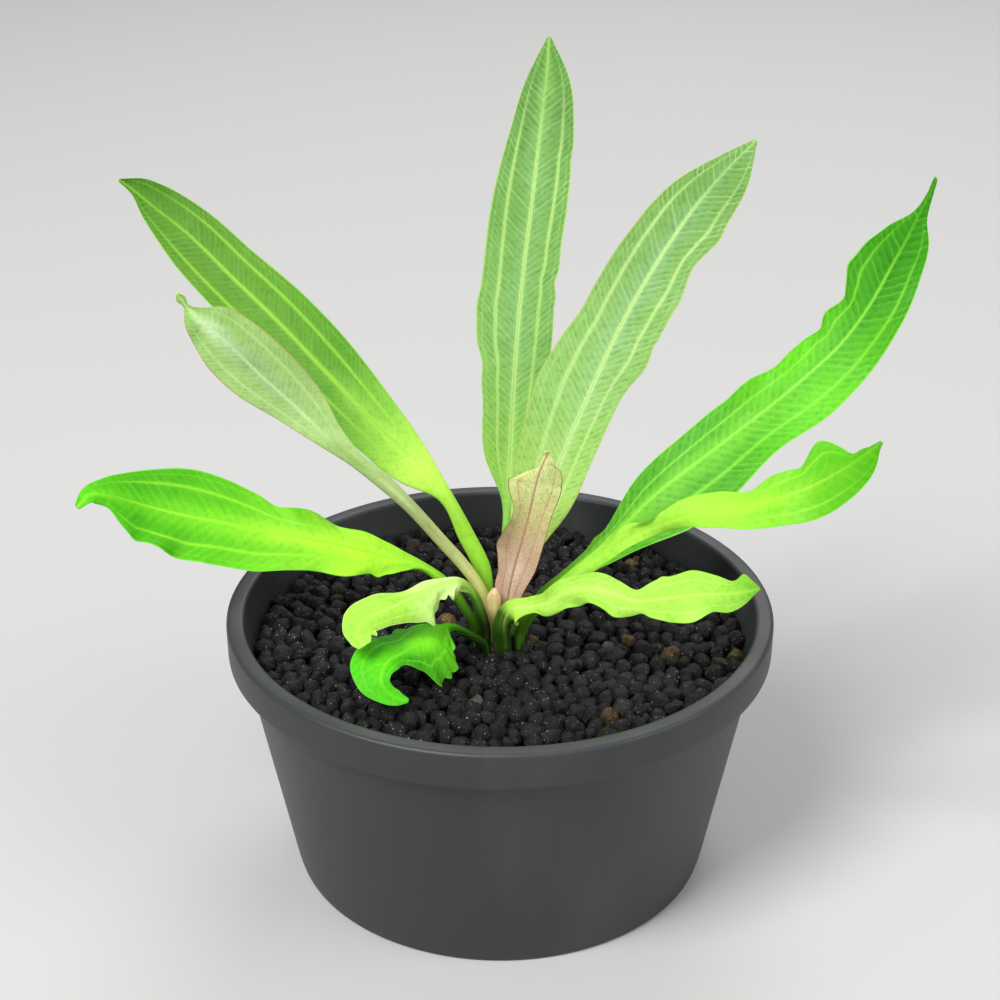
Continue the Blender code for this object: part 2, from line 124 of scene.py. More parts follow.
class Wire:
    """A shader socket: sums on it add Math nodes, and node() adds any other node."""

    def __init__(self, tree, socket=None):
        self.tree = tree
        self.socket = socket

    def node(self, kind, settings, inputs, output):
        """Add a node: its settings first, then its inputs, as values or wires. Gives one output."""
        made = self.tree.nodes.new(kind)
        for name, value in settings.items():
            if name == "stops":
                stops = made.color_ramp.elements
                while len(stops) < len(value):
                    stops.new(1.0)
                for stop, (position, colour) in zip(stops, value):
                    stop.position = position
                    stop.color = colour
            else:
                setattr(made, name, value)
        sockets = {socket.identifier: socket for socket in made.inputs}
        for name, value in inputs.items():
            if isinstance(value, Wire):
                self.tree.links.new(value.socket, sockets[name])
            else:
                sockets[name].default_value = value
        outputs = {socket.identifier: socket for socket in made.outputs}
        return Wire(self.tree, outputs.get(output))

    def math(self, operation, first, second):
        return self.node("ShaderNodeMath", {"operation": operation},
                         {"Value": first, "Value_001": second}, "Value")

    def __add__(self, other):
        return self.math("ADD", self, other)

    def __radd__(self, other):
        return self.math("ADD", other, self)

    def __sub__(self, other):
        return self.math("SUBTRACT", self, other)

    def __rsub__(self, other):
        return self.math("SUBTRACT", other, self)

    def __mul__(self, other):
        return self.math("MULTIPLY", self, other)

    def __rmul__(self, other):
        return self.math("MULTIPLY", other, self)

    def __truediv__(self, other):
        return self.math("DIVIDE", self, other)

    def __rtruediv__(self, other):
        return self.math("DIVIDE", other, self)

    def __mod__(self, other):
        return self.math("FLOORED_MODULO", self, other)

    def __abs__(self):
        return self.math("ABSOLUTE", self, 0.0)


def new_finish(name):
    """An empty material, and a wire to start its nodes from."""
    material = bpy.data.materials.new(name)
    material.use_nodes = True
    material.node_tree.nodes.clear()
    return material, Wire(material.node_tree)


def paint(red, green, blue):
    """Colour from screen values of 0 to 255, as the light values that shaders take."""
    screen = np.array((red, green, blue)) / 255
    light = np.where(screen <= 0.04045, screen / 12.92, ((screen + 0.055) / 1.055) ** 2.4)
    return (*light.tolist(), 1.0)


def rising(value, low, high):
    """0 below low, 1 above high, and smooth between them."""
    return value.node("ShaderNodeMapRange", {"interpolation_type": "SMOOTHSTEP"},
                      {"Value": value, "From Min": low, "From Max": high}, "Result")


def mix(amount, under, over, way="MIX"):
    """The over colour laid on the under colour by an amount from 0 to 1."""
    return amount.node("ShaderNodeMix", {"data_type": "RGBA", "blend_type": way},
                       {"Factor_Float": amount, "A_Color": under, "B_Color": over}, "Result_Color")


def speckle(shade, size, detail, stretch=(1.0, 1.0, 1.0)):
    """Cloudy noise from 0 to 1 whose blots are about a size in millimetres."""
    spot = shade.node("ShaderNodeTexCoord", {}, {}, "Object")
    drawn = shade.node("ShaderNodeMapping", {}, {"Vector": spot, "Scale": stretch}, "Vector")
    return shade.node("ShaderNodeTexNoise", {},
                      {"Vector": drawn, "Scale": 1 / (size * MM), "Detail": detail}, "Fac")


def bumpy(shade, colour, roughness, relief, depth, strength=1.0, specular=0.5):
    """Opaque surface whose relief, from 0 to 1, is a depth in millimetres."""
    bump = shade.node("ShaderNodeBump", {}, {
        "Strength": strength, "Distance": depth * MM, "Height": relief}, "Normal")
    return shade.node("ShaderNodeBsdfPrincipled", {}, {
        "Base Color": colour, "Roughness": roughness, "Specular IOR Level": specular,
        "Normal": bump}, "BSDF")


def shown(surface):
    """Lead a surface to its material's output."""
    surface.node("ShaderNodeOutputMaterial", {}, {"Surface": surface}, "")


# Recess, foot ring, wall, collar, lip and inside, each corner as radius, height and rounding.
pot_profile = rounded((
    (BASE_RADIUS - 4.4, 0.7, 0), (BASE_RADIUS - 3.6, 0.0, 0.3), (BASE_RADIUS - 0.2, 0.0, 0.7),
    (wall_radius(2.4), 2.4, 0.6), (wall_radius(COLLAR_FOOT), COLLAR_FOOT, 0.5),
    (MOUTH_RADIUS - 0.1, COLLAR_FOOT + 0.3, 0.7), (MOUTH_RADIUS, POT_HEIGHT, 0.9),
    (wall_radius(POT_HEIGHT) - WALL, POT_HEIGHT, 0.7),
    (wall_radius(WALL) - WALL, WALL, 1.4), (BASE_RADIUS - 8.0, WALL, 0)))
pot = turned("pot_shell", pot_profile, POT_SIDES)
drain_cutters = []
for hole in range(DRAIN_HOLES):
    around = 2 * math.pi * (hole + 0.5) / DRAIN_HOLES
    bpy.ops.mesh.primitive_cylinder_add(
        vertices=32, radius=DRAIN_RADIUS * MM, depth=6 * WALL * MM,
        location=(DRAIN_RING * MM * math.cos(around), DRAIN_RING * MM * math.sin(around), 0.0))
    drain_cutters.append(bpy.context.object)
    drill = pot.modifiers.new(f"drain_{hole + 1}", "BOOLEAN")
    drill.operation = "DIFFERENCE"
    drill.object = drain_cutters[-1]
applied(pot)
for cutter in drain_cutters:
    bpy.data.objects.remove(cutter, do_unlink=True)

plastic, shade = new_finish("charcoal_plastic")
grain = speckle(shade, 0.25, 3.0)
flow = speckle(shade, 14.0, 4.0, (1.0, 1.0, 0.25))
worn = rising(flow, 0.45, 0.8)
pot_colour = mix(worn * 0.5, paint(44, 45, 47), paint(66, 66, 66))
shown(bumpy(shade, pot_colour, roughness=0.38 + 0.16 * flow + 0.08 * grain, relief=grain + flow * 0.6,
            depth=0.05, strength=0.35))
pot.data.materials.clear()
pot.data.materials.append(plastic)
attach(pot, "root")
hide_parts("pot")

# Soil bed: the lower mass of the same baked grains, filled into the pot and settled. Only its dark
# top shows, between the loose grains that lie on it.
SOIL_LEVEL = 45.0
BED_TOP = SOIL_LEVEL - 5.2
BED_GAP = 0.3

bed_floor = WALL + BED_GAP
bed = turned("soil_bed", (
    (wall_radius(bed_floor) - WALL - BED_GAP, bed_floor),
    (wall_radius(BED_TOP) - WALL - BED_GAP, BED_TOP)), 96)
bed_clay, shade = new_finish("bed_clay")
lumps = speckle(shade, 2.0, 5.0)
bed_colour = mix(lumps, paint(8, 8, 8), paint(34, 32, 30))
shown(bumpy(shade, bed_colour, roughness=0.85, relief=lumps, depth=0.8))
bed.data.materials.append(bed_clay)
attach(bed, "root")
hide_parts("soil")

# Crown: the short woody rootstock under the leaves. It grew with them, sits in the soil's pocket,
# and shows only as brown-green skin between the feet of the stalks.
bark, shade = new_finish("crown_bark")
fibres = speckle(shade, 0.6, 4.0, (1.0, 1.0, 0.3))
bark_colour = mix(rising(fibres, 0.35, 0.65), paint(58, 52, 26), paint(112, 108, 52))
shown(bumpy(shade, bark_colour, roughness=0.5 + 0.3 * fibres, relief=fibres, depth=0.3, strength=0.8))
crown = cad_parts["crown"]
crown.data.materials.clear()
crown.data.materials.append(bark)

# Tall leaf: the upright one in the middle, sage green between yellow-green ribs. Like every leaf
# of the plant it is stalk and blade in one, grown from the crown, thin, ribbed and satin.
STALK_HALF = 0.8
BLADE_HALF = 0.17
NECK_LENGTH = 8.0
STATIONS = 150
ACROSS = 24
EDGE_CROWDING = 0.42
MIDRIB_WIDTH = 0.45
PAIR_WIDTH = 0.035
PAIR_SHARE = 0.4
RIB_TOP = 0.07
RIB_UNDER = 0.24
RIB_FOOT = 0.36
RIB_RISE = 0.34
FOLD_LEAN = 5.0
FOOT_HEIGHT = 6.0
UPRIGHT = (0.0, -0.87, 0.5)
SPREADING = (0.0, -0.65, 0.76)
LYING = (0.0, -0.5, 0.86)
CROSS_LEAN = 0.85
CLOUD_TINT = (0.74, 0.84, 0.56, 1.0)
MOTTLE_TINT = (0.58, 0.7, 0.6, 1.0)
GAP_TINT = (0.56, 0.7, 0.58, 1.0)
CELL_TINT = (0.76, 0.82, 0.66, 1.0)
FOOT_OLIVE_AND_SHADE_TINT = (0.4, 0.46, 0.36, 1.0)
stalk_feet = []


def through(knots, values, places):
    """Smooth curve through values that are given at knots, read at places along it."""
    slopes = np.gradient(values, knots, axis=0)
    before = np.clip(np.searchsorted(knots, places, side="right") - 1, 0, len(knots) - 2)
    span = (knots[before + 1] - knots[before])[:, None]
    part = (places - knots[before])[:, None] / span
    ease = part * part * (3 - 2 * part)
    bulge = slopes[before] * (1 - part) - slopes[before + 1] * part
    return values[before] * (1 - ease) + values[before + 1] * ease + span * part * (1 - part) * bulge


def unit(vectors):
    """The same directions with length one."""
    return vectors / np.linalg.norm(vectors, axis=-1, keepdims=True)


def leaf(name, looks, neck, rows, ripple=(0.0, 0.0), notches=(), frills=()):
    """Stalk and blade of one leaf as one closed skin.

    A row is the midrib's x, y and height over the soil, the half widths on its left and right,
    the turn about the midrib and how far each half is cupped, in millimetres and degrees. Looks is
    the way that the upper face points, and the neck is how far along the leaf its stalk turns into
    the thin blade. A ripple is how many waves the margins have and how high they are.
    A notch is a side (-1 or 1), how far along the leaf it is, its depth and its half length, and is
    a lobe where the depth is negative. A frill is a side, where its waves start and end along the
    leaf, how many they are and how high they are at the margin.
    """
    rows = np.array(rows, float)
    runs = np.linalg.norm(np.diff(rows[:, :3], axis=0), axis=1)
    knots = np.concatenate(([0.0], np.cumsum(runs)))
    length = knots[-1]
    along = np.linspace(0.0, length, STATIONS)
    read = through(knots, rows, along)
    midrib = read[:, :3]
    left, right, turn, cup_left, cup_right = read[:, 3:].T
    reaches = {-1: left.copy(), 1: right.copy()}
    for side, middle, depth, half_length in notches:
        reaches[side] -= depth * np.exp(-((along - middle) / half_length) ** 2)
    ahead = unit(np.gradient(midrib, along, axis=0))
    up = unit(np.array(looks) - (ahead @ np.array(looks))[:, None] * ahead)
    turn = np.radians(turn)[:, None]
    up = up * np.cos(turn) + np.cross(ahead, up) * np.sin(turn)
    sideways = np.cross(ahead, up)
    width = 0.5 * (left + right)
    stalk = np.clip(0.5 - (along - neck) / NECK_LENGTH, 0.0, 1.0)
    blade = 1 - stalk
    half = np.minimum(BLADE_HALF + (STALK_HALF - BLADE_HALF) * stalk, 0.9 * width)
    waves, height = ripple

    def station_points(u, face):
        """Points at u across the leaf, -1 to 1, on the upper face for 1 or the lower one for -1."""
        reach = reaches[-1 if u < 0 else 1] * abs(u)
        bend = np.radians(cup_left if u < 0 else cup_right) * abs(u)
        shift = math.copysign(1.0, u) * reach * np.sinc(bend / np.pi)
        lift = reach * np.sinc(bend / 2 / np.pi) * np.sin(bend / 2)
        phase = 0.0 if u < 0 else 0.25
        wave = np.sin(2 * np.pi * (waves * along / length + phase))
        lift = lift + height * wave * u * u * blade
        for side, start, end, count, high in frills:
            part = np.clip((along + FOLD_LEAN * (1 - abs(u)) - start) / (end - start), 0.0, 1.0)
            folds = np.sin(2 * np.pi * count * part) * np.sin(np.pi * part)
            lift = lift + (side * u > 0) * high * folds * u * u
        rib = np.exp(-(u * reaches[1] / MIDRIB_WIDTH) ** 2)
        side_rib = RIB_FOOT + RIB_RISE * along / length
        rib = rib + PAIR_SHARE * np.exp(-((abs(u) - side_rib) / PAIR_WIDTH) ** 2)
        skin = half * math.sqrt(1 - u * u)
        skin = skin - RIB_TOP * rib * blade if face > 0 else -skin - RIB_UNDER * rib * blade
        return midrib + sideways * shift[:, None] + up * (lift + skin)[:, None]

    spread = np.sin(np.linspace(-1, 1, 2 * ACROSS + 1) * EDGE_CROWDING * np.pi)
    spread = spread / math.sin(EDGE_CROWDING * np.pi)
    loop = [(u, 1.0) for u in spread] + [(u, -1.0) for u in spread[-2:0:-1]]
    layers = np.stack([station_points(u, face) for u, face in loop], axis=1)
    points = layers.reshape(-1, 3) + (0.0, 0.0, SOIL_LEVEL)
    sides = len(loop)
    faces = stitch(STATIONS, sides)
    faces.append(tuple(reversed(range(sides))))
    faces.append(tuple(range((STATIONS - 1) * sides, STATIONS * sides)))
    made = add_mesh(name, points, faces, sharp_angle=80.0)

    across = np.array([u for u, _ in loop])
    facing = np.array([0.0 if abs(u) == 1 else face for u, face in loop])
    reach = np.where(across[None, :] < 0, reaches[-1][:, None], reaches[1][:, None])
    by_row = np.ones((STATIONS, sides))
    place = np.stack((by_row * across, by_row * (along / length)[:, None], by_row * facing), axis=-1)
    sizes = np.stack((reach * across, by_row * along[:, None], by_row * blade[:, None]), axis=-1)
    for label, numbers in (("leaf_place", place), ("leaf_sizes", sizes)):
        layer = made.data.attributes.new(label, "FLOAT_VECTOR", "POINT")
        layer.data.foreach_set("vector", numbers.astype(np.float32).ravel())
    low = np.nonzero(midrib[:, 2] < FOOT_HEIGHT)[0][::3]
    stalk_feet.append(np.column_stack((midrib[low], width[low])))
    return made


def leaf_finish(grown, inner, outer, rib, line, margin, rib_half=0.5, core=None, flecks=None,
                glow=0.15, veins=0.4, spacing=1.0, mottle=0.2, under=(130, 180, 90)):
    """Give a grown leaf its satin skin.

    Colours near the midrib and further out go by their share of the leaf's length from the crown,
    and those of the ribs, the cross veins, the margin, the thread down each rib, the small flecks
    and the back are single, all as screen values. Glow is the share of light that shines through.
    The cross veins have a strength and a spacing in millimetres, and the mottle a strength.
    """
    material, shade = new_finish(grown.name + "_skin")

    def parts(label):
        """The three numbers that the mesh carries under a name."""
        read = shade.node("ShaderNodeAttribute", {"attribute_name": label}, {}, "Vector")
        return [shade.node("ShaderNodeSeparateXYZ", {}, {"Vector": read}, axis) for axis in "XYZ"]

    def zones(stops):
        """Colour that changes from the foot to the tip."""
        set_stops = [(position, paint(*colour)) for position, colour in stops]
        return shade.node("ShaderNodeValToRGB", {"stops": set_stops}, {"Fac": share}, "Color")

    across, share, face = parts("leaf_place")
    off, along, blade = parts("leaf_sizes")
    cloud = speckle(shade, 6.0, 3.0)
    weave = speckle(shade, 1.1, 5.0)
    cells = speckle(shade, 0.3, 2.0)
    from_rib = abs(across)
    skin = mix(rising(from_rib + 0.4 * (cloud - 0.5), 0.05, 0.5), zones(inner), zones(outer))
    skin = mix(rising(cloud, 0.45, 0.7) * 0.3, skin, CLOUD_TINT, "MULTIPLY")
    skin = mix(rising(weave, 0.48, 0.66) * mottle, skin, MOTTLE_TINT, "MULTIPLY")

    from_pair = from_rib - (RIB_FOOT + RIB_RISE * share)
    side = rising(off, -0.01, 0.01)
    beyond = rising(from_pair, -0.01, 0.01)
    lean = CROSS_LEAN * abs(off) * (1 + 0.35 * beyond)
    count = (along - lean + 1.6 * cloud + 0.7 * weave + 0.6 * side + 0.45 * beyond) / spacing
    part = count % 1.0
    from_line = abs(part - 0.5)
    chance = shade.node("ShaderNodeTexWhiteNoise", {"noise_dimensions": "1D"},
                        {"W": count - part + 40.0 * side + 90.0 * beyond}, "Value")
    crossed = (1 - rising(from_line, 0.0, 0.18)) * (0.15 + 0.85 * chance * chance) * blade
    between = rising(from_line, 0.1, 0.5) * (0.2 + 0.8 * rising(weave, 0.35, 0.65)) * blade
    skin = mix(between * veins, skin, GAP_TINT, "MULTIPLY")
    skin = mix(crossed * veins, skin, paint(*line))

    slim = 1.25 - share
    middle = 1 - rising(abs(off), 0.15, rib_half * slim + 0.15)
    halo = 1 - rising(abs(off), 0.2, 2.2 * rib_half * slim + 0.3)
    pair = 1 - rising(abs(from_pair), 0.01, 0.04 + 0.05 * rib_half)
    pair_halo = 1 - rising(abs(from_pair), 0.0, 0.12)
    edge_pair = 1 - rising(abs(from_rib - 0.86), 0.0, 0.025)
    ribs = (middle * 0.6 + halo * 0.2) * (0.15 + 0.85 * blade)
    ribs = ribs + (pair * 0.5 + pair_halo * 0.15 + edge_pair * 0.2) * blade
    skin = mix(ribs * (1 - 0.7 * rising(share, 0.78, 0.94)), skin, paint(*rib))
    if core:
        thread = 1 - rising(abs(off), 0.05, 0.2)
        pair_thread = 1 - rising(abs(from_pair), 0.003, 0.018)
        skin = mix((thread + 0.8 * pair_thread) * 0.55 * blade, skin, paint(*core))
    if flecks:
        skin = mix(rising(speckle(shade, 0.26, 3.0, (1.0, 1.0, 0.7)), 0.52, 0.7) * 0.5, skin, paint(*flecks))
    skin = mix(rising(from_rib, 0.955, 0.985) * blade, skin, paint(*margin))
    skin = mix((1 - rising(face, -0.4, 0.2)) * 0.45, skin, paint(*under))
    skin = mix(rising(cells, 0.42, 0.7) * 0.5, skin, CELL_TINT, "MULTIPLY")
    # Painted shade, with some real olive: the stalks darken towards their feet at the soil, where the leaves
    # above shade them.
    skin = mix((1 - rising(along, 3.0, 9.0)) * 0.7, skin, FOOT_OLIVE_AND_SHADE_TINT, "MULTIPLY")

    front = bumpy(shade, skin, roughness=0.46 + 0.16 * cloud - 0.1 * ribs,
                  relief=between * veins + 0.4 * cells, depth=0.12, strength=0.5, specular=0.18)
    through_light = shade.node("ShaderNodeBsdfTranslucent", {}, {
        "Color": paint(*outer[len(outer) // 2][1])}, "BSDF")
    shown(shade.node("ShaderNodeMixShader", {}, {
        "Fac": glow, "Shader": front, "Shader_001": through_light}, "Shader"))
    grown.data.materials.append(material)


tall = leaf("tall_leaf", looks=UPRIGHT, neck=27.0, ripple=(3.0, 0.3), rows=(
    (0.2, 3.6, -2.6, 1.0, 1.0, 0, 0, 0),
    (0.4, 4.2, 2.0, 1.0, 1.0, 0, 0, 0),
    (1.0, 6.6, 13.2, 0.9, 0.9, 0, 0, 0),
    (1.4, 9.4, 21.0, 1.1, 1.6, 0, 10, 10),
    (1.8, 12.0, 29.0, 4.7, 4.5, 0, 15, 15),
    (2.3, 15.0, 39.0, 5.5, 5.8, 0, 14, 14),
    (3.0, 17.5, 49.2, 7.3, 6.3, 0, 12, 12),
    (4.0, 20.0, 60.0, 7.2, 6.0, 0, 12, 12),
    (5.6, 23.0, 73.0, 7.0, 6.3, 0, 12, 12),
    (7.0, 26.0, 85.0, 5.2, 6.0, 0, 12, 12),
    (8.0, 28.0, 93.5, 3.4, 4.2, 0, 12, 12),
    (8.5, 30.0, 100.3, 0.3, 0.3, 0, 10, 10)),
    notches=((-1, 49.5, 0.7, 2.5), (-1, 59.5, -0.35, 2.5), (1, 62.0, -0.2, 1.0), (1, 64.8, 0.25, 0.8),
             (1, 68.0, -0.3, 2.0), (1, 86.0, 0.3, 2.0)))
leaf_finish(
    tall,
    inner=((0.0, (120, 190, 60)), (0.3, (170, 224, 100)), (0.5, (144, 192, 120)), (0.8, (142, 190, 112)),
           (1.0, (130, 186, 84))),
    outer=((0.0, (120, 190, 60)), (0.3, (156, 212, 92)), (0.5, (142, 194, 104)), (0.75, (128, 180, 94)),
           (0.9, (110, 158, 80)), (1.0, (106, 158, 70))),
    rib=(208, 248, 148), line=(196, 236, 156), margin=(172, 218, 104), core=(156, 200, 92), veins=0.42,
    spacing=1.25, mottle=0.34)
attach(tall, "root")
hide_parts("leaf_tall")

# Broad leaf: leans to the right beside the tall one, a bluish sage green between pale ribs, with a
# paler foot where the young leaf stands in front of it.
broad = leaf("broad_leaf", looks=UPRIGHT, neck=15.0, ripple=(3.0, 0.3), rows=(
    (2.5, 2.5, -2.6, 1.0, 1.0, 0, 0, 0),
    (2.6, 2.6, 1.0, 1.0, 1.0, 0, 0, 0),
    (3.3, 2.8, 9.0, 1.4, 1.4, 0, 0, 0),
    (5.0, 4.5, 15.2, 3.4, 2.7, 0, 15, 15),
    (8.0, 7.0, 22.5, 6.4, 4.9, 0, 18, 18),
    (11.9, 9.0, 32.6, 8.5, 5.4, 0, 15, 15),
    (16.4, 11.0, 43.2, 9.3, 5.6, 0, 12, 12),
    (21.5, 13.0, 54.4, 7.7, 7.0, 0, 12, 12),
    (27.8, 15.0, 65.6, 7.1, 6.4, 0, 12, 12),
    (34.4, 17.0, 75.1, 5.5, 6.3, 0, 12, 12),
    (39.7, 18.0, 81.3, 2.4, 4.3, 0, 12, 12),
    (43.8, 19.0, 85.2, 0.3, 0.3, 0, 12, 12)),
    notches=((1, 55.5, -0.8, 3.5), (1, 60.2, 0.2, 1.0), (1, 70.0, -0.4, 2.5), (1, 76.5, 0.5, 2.5),
             (1, 83.0, -0.4, 2.0), (-1, 47.0, -0.3, 2.5), (-1, 60.0, 0.3, 3.0)))
leaf_finish(
    broad,
    inner=((0.0, (130, 195, 75)), (0.22, (206, 244, 134)), (0.45, (168, 214, 132)), (0.7, (148, 194, 128)),
           (1.0, (116, 166, 86))),
    outer=((0.0, (130, 195, 75)), (0.22, (190, 230, 112)), (0.45, (162, 212, 116)), (0.7, (144, 192, 106)),
           (0.9, (122, 170, 84)), (1.0, (118, 168, 80))),
    rib=(216, 250, 164), line=(200, 236, 164), margin=(180, 202, 106), core=(170, 208, 112), veins=0.46,
    spacing=1.3, mottle=0.36)
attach(broad, "root")
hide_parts("leaf_broad")

# Young leaf: a half-grown leaf that has just opened, with one shoulder cut off beside its hooked
# tip, olive above and pinkish brown below, with red-brown veins, flecks and margins.
young = leaf("young_leaf", looks=UPRIGHT, neck=7.0, ripple=(2.0, 0.3), rows=(
    (0.9, -0.8, -2.6, 1.1, 1.1, 0, 0, 0),
    (0.9, -0.9, 0.0, 1.2, 1.2, 0, 10, 10),
    (1.1, -1.3, 3.0, 1.5, 1.6, 0, 25, 25),
    (1.6, -2.0, 8.7, 2.7, 2.6, 0, 35, 35),
    (2.9, -2.5, 15.4, 3.4, 4.0, 0, 30, 30),
    (4.1, -3.0, 20.3, 4.0, 4.0, 0, 30, 30),
    (5.3, -3.5, 26.0, 3.0, 4.1, 0, 25, 25),
    (6.0, -4.0, 30.0, 4.7, 4.6, 0, 18, 18),
    (6.2, -4.1, 30.9, 4.9, 4.6, 0, 15, 15),
    (6.5, -4.3, 32.4, 2.9, 4.4, 0, 8, 8),
    (6.9, -4.6, 33.9, 0.9, 4.1, 0, 0, 0),
    (7.6, -5.0, 36.0, 0.6, 2.8, 0, 0, 0),
    (8.1, -5.4, 37.4, 0.4, 0.7, 0, 0, 0),
    (7.9, -5.7, 38.0, 0.3, 0.3, 0, 0, 0)),
    notches=((-1, 20.6, -0.6, 1.8), (-1, 15.5, 0.3, 1.5), (-1, 26.5, 0.3, 1.0)),
    frills=((-1, 14.0, 28.0, 1.5, 0.35),))
leaf_finish(
    young,
    inner=((0.0, (240, 220, 172)), (0.2, (255, 224, 194)), (0.4, (252, 222, 202)), (0.5, (228, 194, 166)),
           (0.6, (216, 196, 142)), (0.7, (228, 226, 156)), (0.8, (236, 244, 168)), (1.0, (236, 244, 170))),
    outer=((0.0, (240, 210, 166)), (0.2, (246, 202, 178)), (0.4, (232, 192, 170)), (0.5, (216, 184, 156)),
           (0.6, (212, 192, 144)), (0.7, (220, 216, 146)), (0.8, (228, 236, 156)), (1.0, (230, 240, 156))),
    rib=(218, 172, 138), line=(200, 150, 120), margin=(134, 78, 52), rib_half=0.15, core=(164, 112, 82),
    flecks=(160, 108, 84), glow=0.08, veins=0.25, spacing=0.9, under=(218, 180, 150))
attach(young, "root")
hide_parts("leaf_young")

# Bud leaf: the newest leaf, still a narrow pinkish sheath against the young leaf's left foot.
bud = leaf("bud_leaf", looks=UPRIGHT, neck=30.0, rows=(
    (-0.6, -2.9, -2.6, 0.6, 0.6, 0, 0, 0),
    (-0.7, -3.1, 0.0, 0.7, 0.7, 0, 0, 0),
    (-0.7, -3.6, 3.6, 0.9, 0.9, 0, 10, 10),
    (-1.0, -3.9, 7.0, 1.4, 1.2, 0, 20, 20),
    (-1.0, -3.9, 9.2, 1.2, 1.1, 0, 20, 20),
    (-0.9, -3.8, 10.4, 0.4, 0.4, 0, 0, 0)))
leaf_finish(
    bud,
    inner=((0.0, (60, 80, 30)), (0.4, (96, 122, 44)), (0.6, (190, 182, 102)), (0.75, (242, 224, 148)),
           (1.0, (244, 212, 164))),
    outer=((0.0, (60, 80, 30)), (0.4, (90, 112, 42)), (0.6, (180, 166, 96)), (0.75, (236, 206, 142)),
           (1.0, (232, 186, 148))),
    rib=(240, 222, 160), line=(226, 190, 138), margin=(210, 164, 124), rib_half=0.2, glow=0.08, veins=0.2,
    under=(214, 186, 140))
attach(bud, "root")
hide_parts("leaf_bud")

# Upper left leaf: long and straight, yellow-green at its stalk and lower blade and deeper green
# towards its tip, with three pale ribs.
upper_left = leaf("upper_left_leaf", looks=UPRIGHT, neck=39.0, ripple=(3.0, 0.4), rows=(
    (-2.6, 2.8, -2.6, 1.0, 1.0, 0, 0, 0),
    (-2.6, 3.0, 2.0, 1.1, 1.1, 0, 0, 0),
    (-3.0, 4.0, 10.0, 1.6, 1.4, 0, 0, 0),
    (-6.0, 6.0, 15.6, 1.5, 1.6, 10, 0, 0),
    (-10.0, 8.0, 23.0, 1.5, 1.5, 20, 5, 5),
    (-14.8, 10.0, 28.1, 5.0, 3.1, 20, 12, 12),
    (-22.0, 12.0, 35.0, 6.3, 5.3, 20, 12, 12),
    (-30.7, 14.0, 44.1, 6.5, 7.0, 20, 12, 12),
    (-39.4, 16.0, 53.4, 7.4, 6.8, 20, 12, 12),
    (-47.5, 18.0, 61.2, 7.0, 6.2, 20, 12, 12),
    (-54.6, 19.0, 68.5, 5.8, 5.6, 20, 12, 12),
    (-60.7, 19.0, 73.9, 2.5, 4.1, 15, 12, 12),
    (-63.0, 18.7, 76.2, 0.8, 2.8, 10, 12, 12),
    (-65.4, 18.0, 78.5, 0.3, 0.3, 0, 0, 0)))
leaf_finish(
    upper_left,
    inner=((0.0, (140, 200, 60)), (0.15, (160, 226, 60)), (0.32, (206, 250, 96)), (0.42, (168, 226, 84)),
           (0.55, (114, 168, 62)), (0.8, (108, 160, 60)), (1.0, (86, 150, 40))),
    outer=((0.0, (140, 200, 60)), (0.15, (156, 222, 58)), (0.32, (198, 246, 92)), (0.42, (148, 210, 74)),
           (0.52, (102, 168, 52)), (0.8, (108, 160, 56)), (1.0, (76, 138, 34))),
    rib=(164, 230, 78), line=(158, 208, 104), margin=(142, 206, 66), core=(146, 200, 58), veins=0.28,
    spacing=1.2, mottle=0.3)
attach(upper_left, "root")
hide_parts("leaf_upper_left")

# Pale leaf: the narrow one in front of the upper left leaf, on a long thin stalk, olive with a
# bluish cast, a thin brown margin, a pinkish foot and a tip like a small club.
pale = leaf("pale_leaf", looks=UPRIGHT, neck=54.0, ripple=(4.0, 0.3), rows=(
    (-1.3, 0.5, -2.6, 1.0, 1.0, 0, 0, 0),
    (-1.5, 0.4, 1.0, 1.0, 1.0, 0, 0, 0),
    (-3.3, -0.3, 8.0, 1.0, 1.0, 0, 0, 0),
    (-6.6, 0.0, 13.2, 1.1, 1.1, 0, 0, 0),
    (-9.8, 0.0, 17.4, 1.2, 1.0, 0, 0, 0),
    (-16.9, 0.0, 26.0, 1.2, 1.2, 0, 0, 0),
    (-20.5, 0.0, 29.6, 1.3, 1.5, 0, 0, 0),
    (-24.9, -0.5, 33.8, 1.3, 1.6, -20, 5, 5),
    (-28.9, -1.0, 38.1, 2.2, 2.6, -20, 10, 10),
    (-34.5, -2.0, 44.5, 3.8, 5.4, -20, 12, 12),
    (-40.7, -4.0, 52.0, 5.4, 6.7, -20, 12, 12),
    (-45.9, -6.0, 58.9, 5.0, 5.6, -20, 12, 12),
    (-48.3, -6.5, 61.5, 3.8, 4.6, -20, 12, 12),
    (-50.1, -7.0, 63.5, 2.4, 1.8, -10, 12, 12),
    (-51.4, -7.3, 65.2, 0.5, 0.4, -10, 12, 12),
    (-52.1, -7.7, 66.5, 0.8, 0.8, 0, 0, 0),
    (-52.6, -8.0, 67.5, 0.3, 0.3, 0, 0, 0)))
leaf_finish(
    pale,
    inner=((0.0, (240, 226, 146)), (0.1, (244, 246, 140)), (0.2, (208, 220, 156)), (0.3, (150, 162, 96)),
           (0.4, (196, 222, 152)), (0.5, (158, 196, 96)), (0.6, (196, 232, 150)), (0.8, (172, 212, 150)),
           (0.92, (222, 250, 190)), (1.0, (176, 226, 110))),
    outer=((0.0, (240, 214, 146)), (0.12, (240, 228, 140)), (0.35, (172, 180, 124)), (0.55, (196, 230, 148)),
           (0.8, (186, 226, 134)), (0.92, (166, 210, 120)), (1.0, (160, 214, 96))),
    rib=(226, 248, 180), line=(226, 246, 190), margin=(194, 166, 100), rib_half=0.3, veins=0.3,
    spacing=1.2, mottle=0.28)
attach(pale, "root")
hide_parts("leaf_pale")

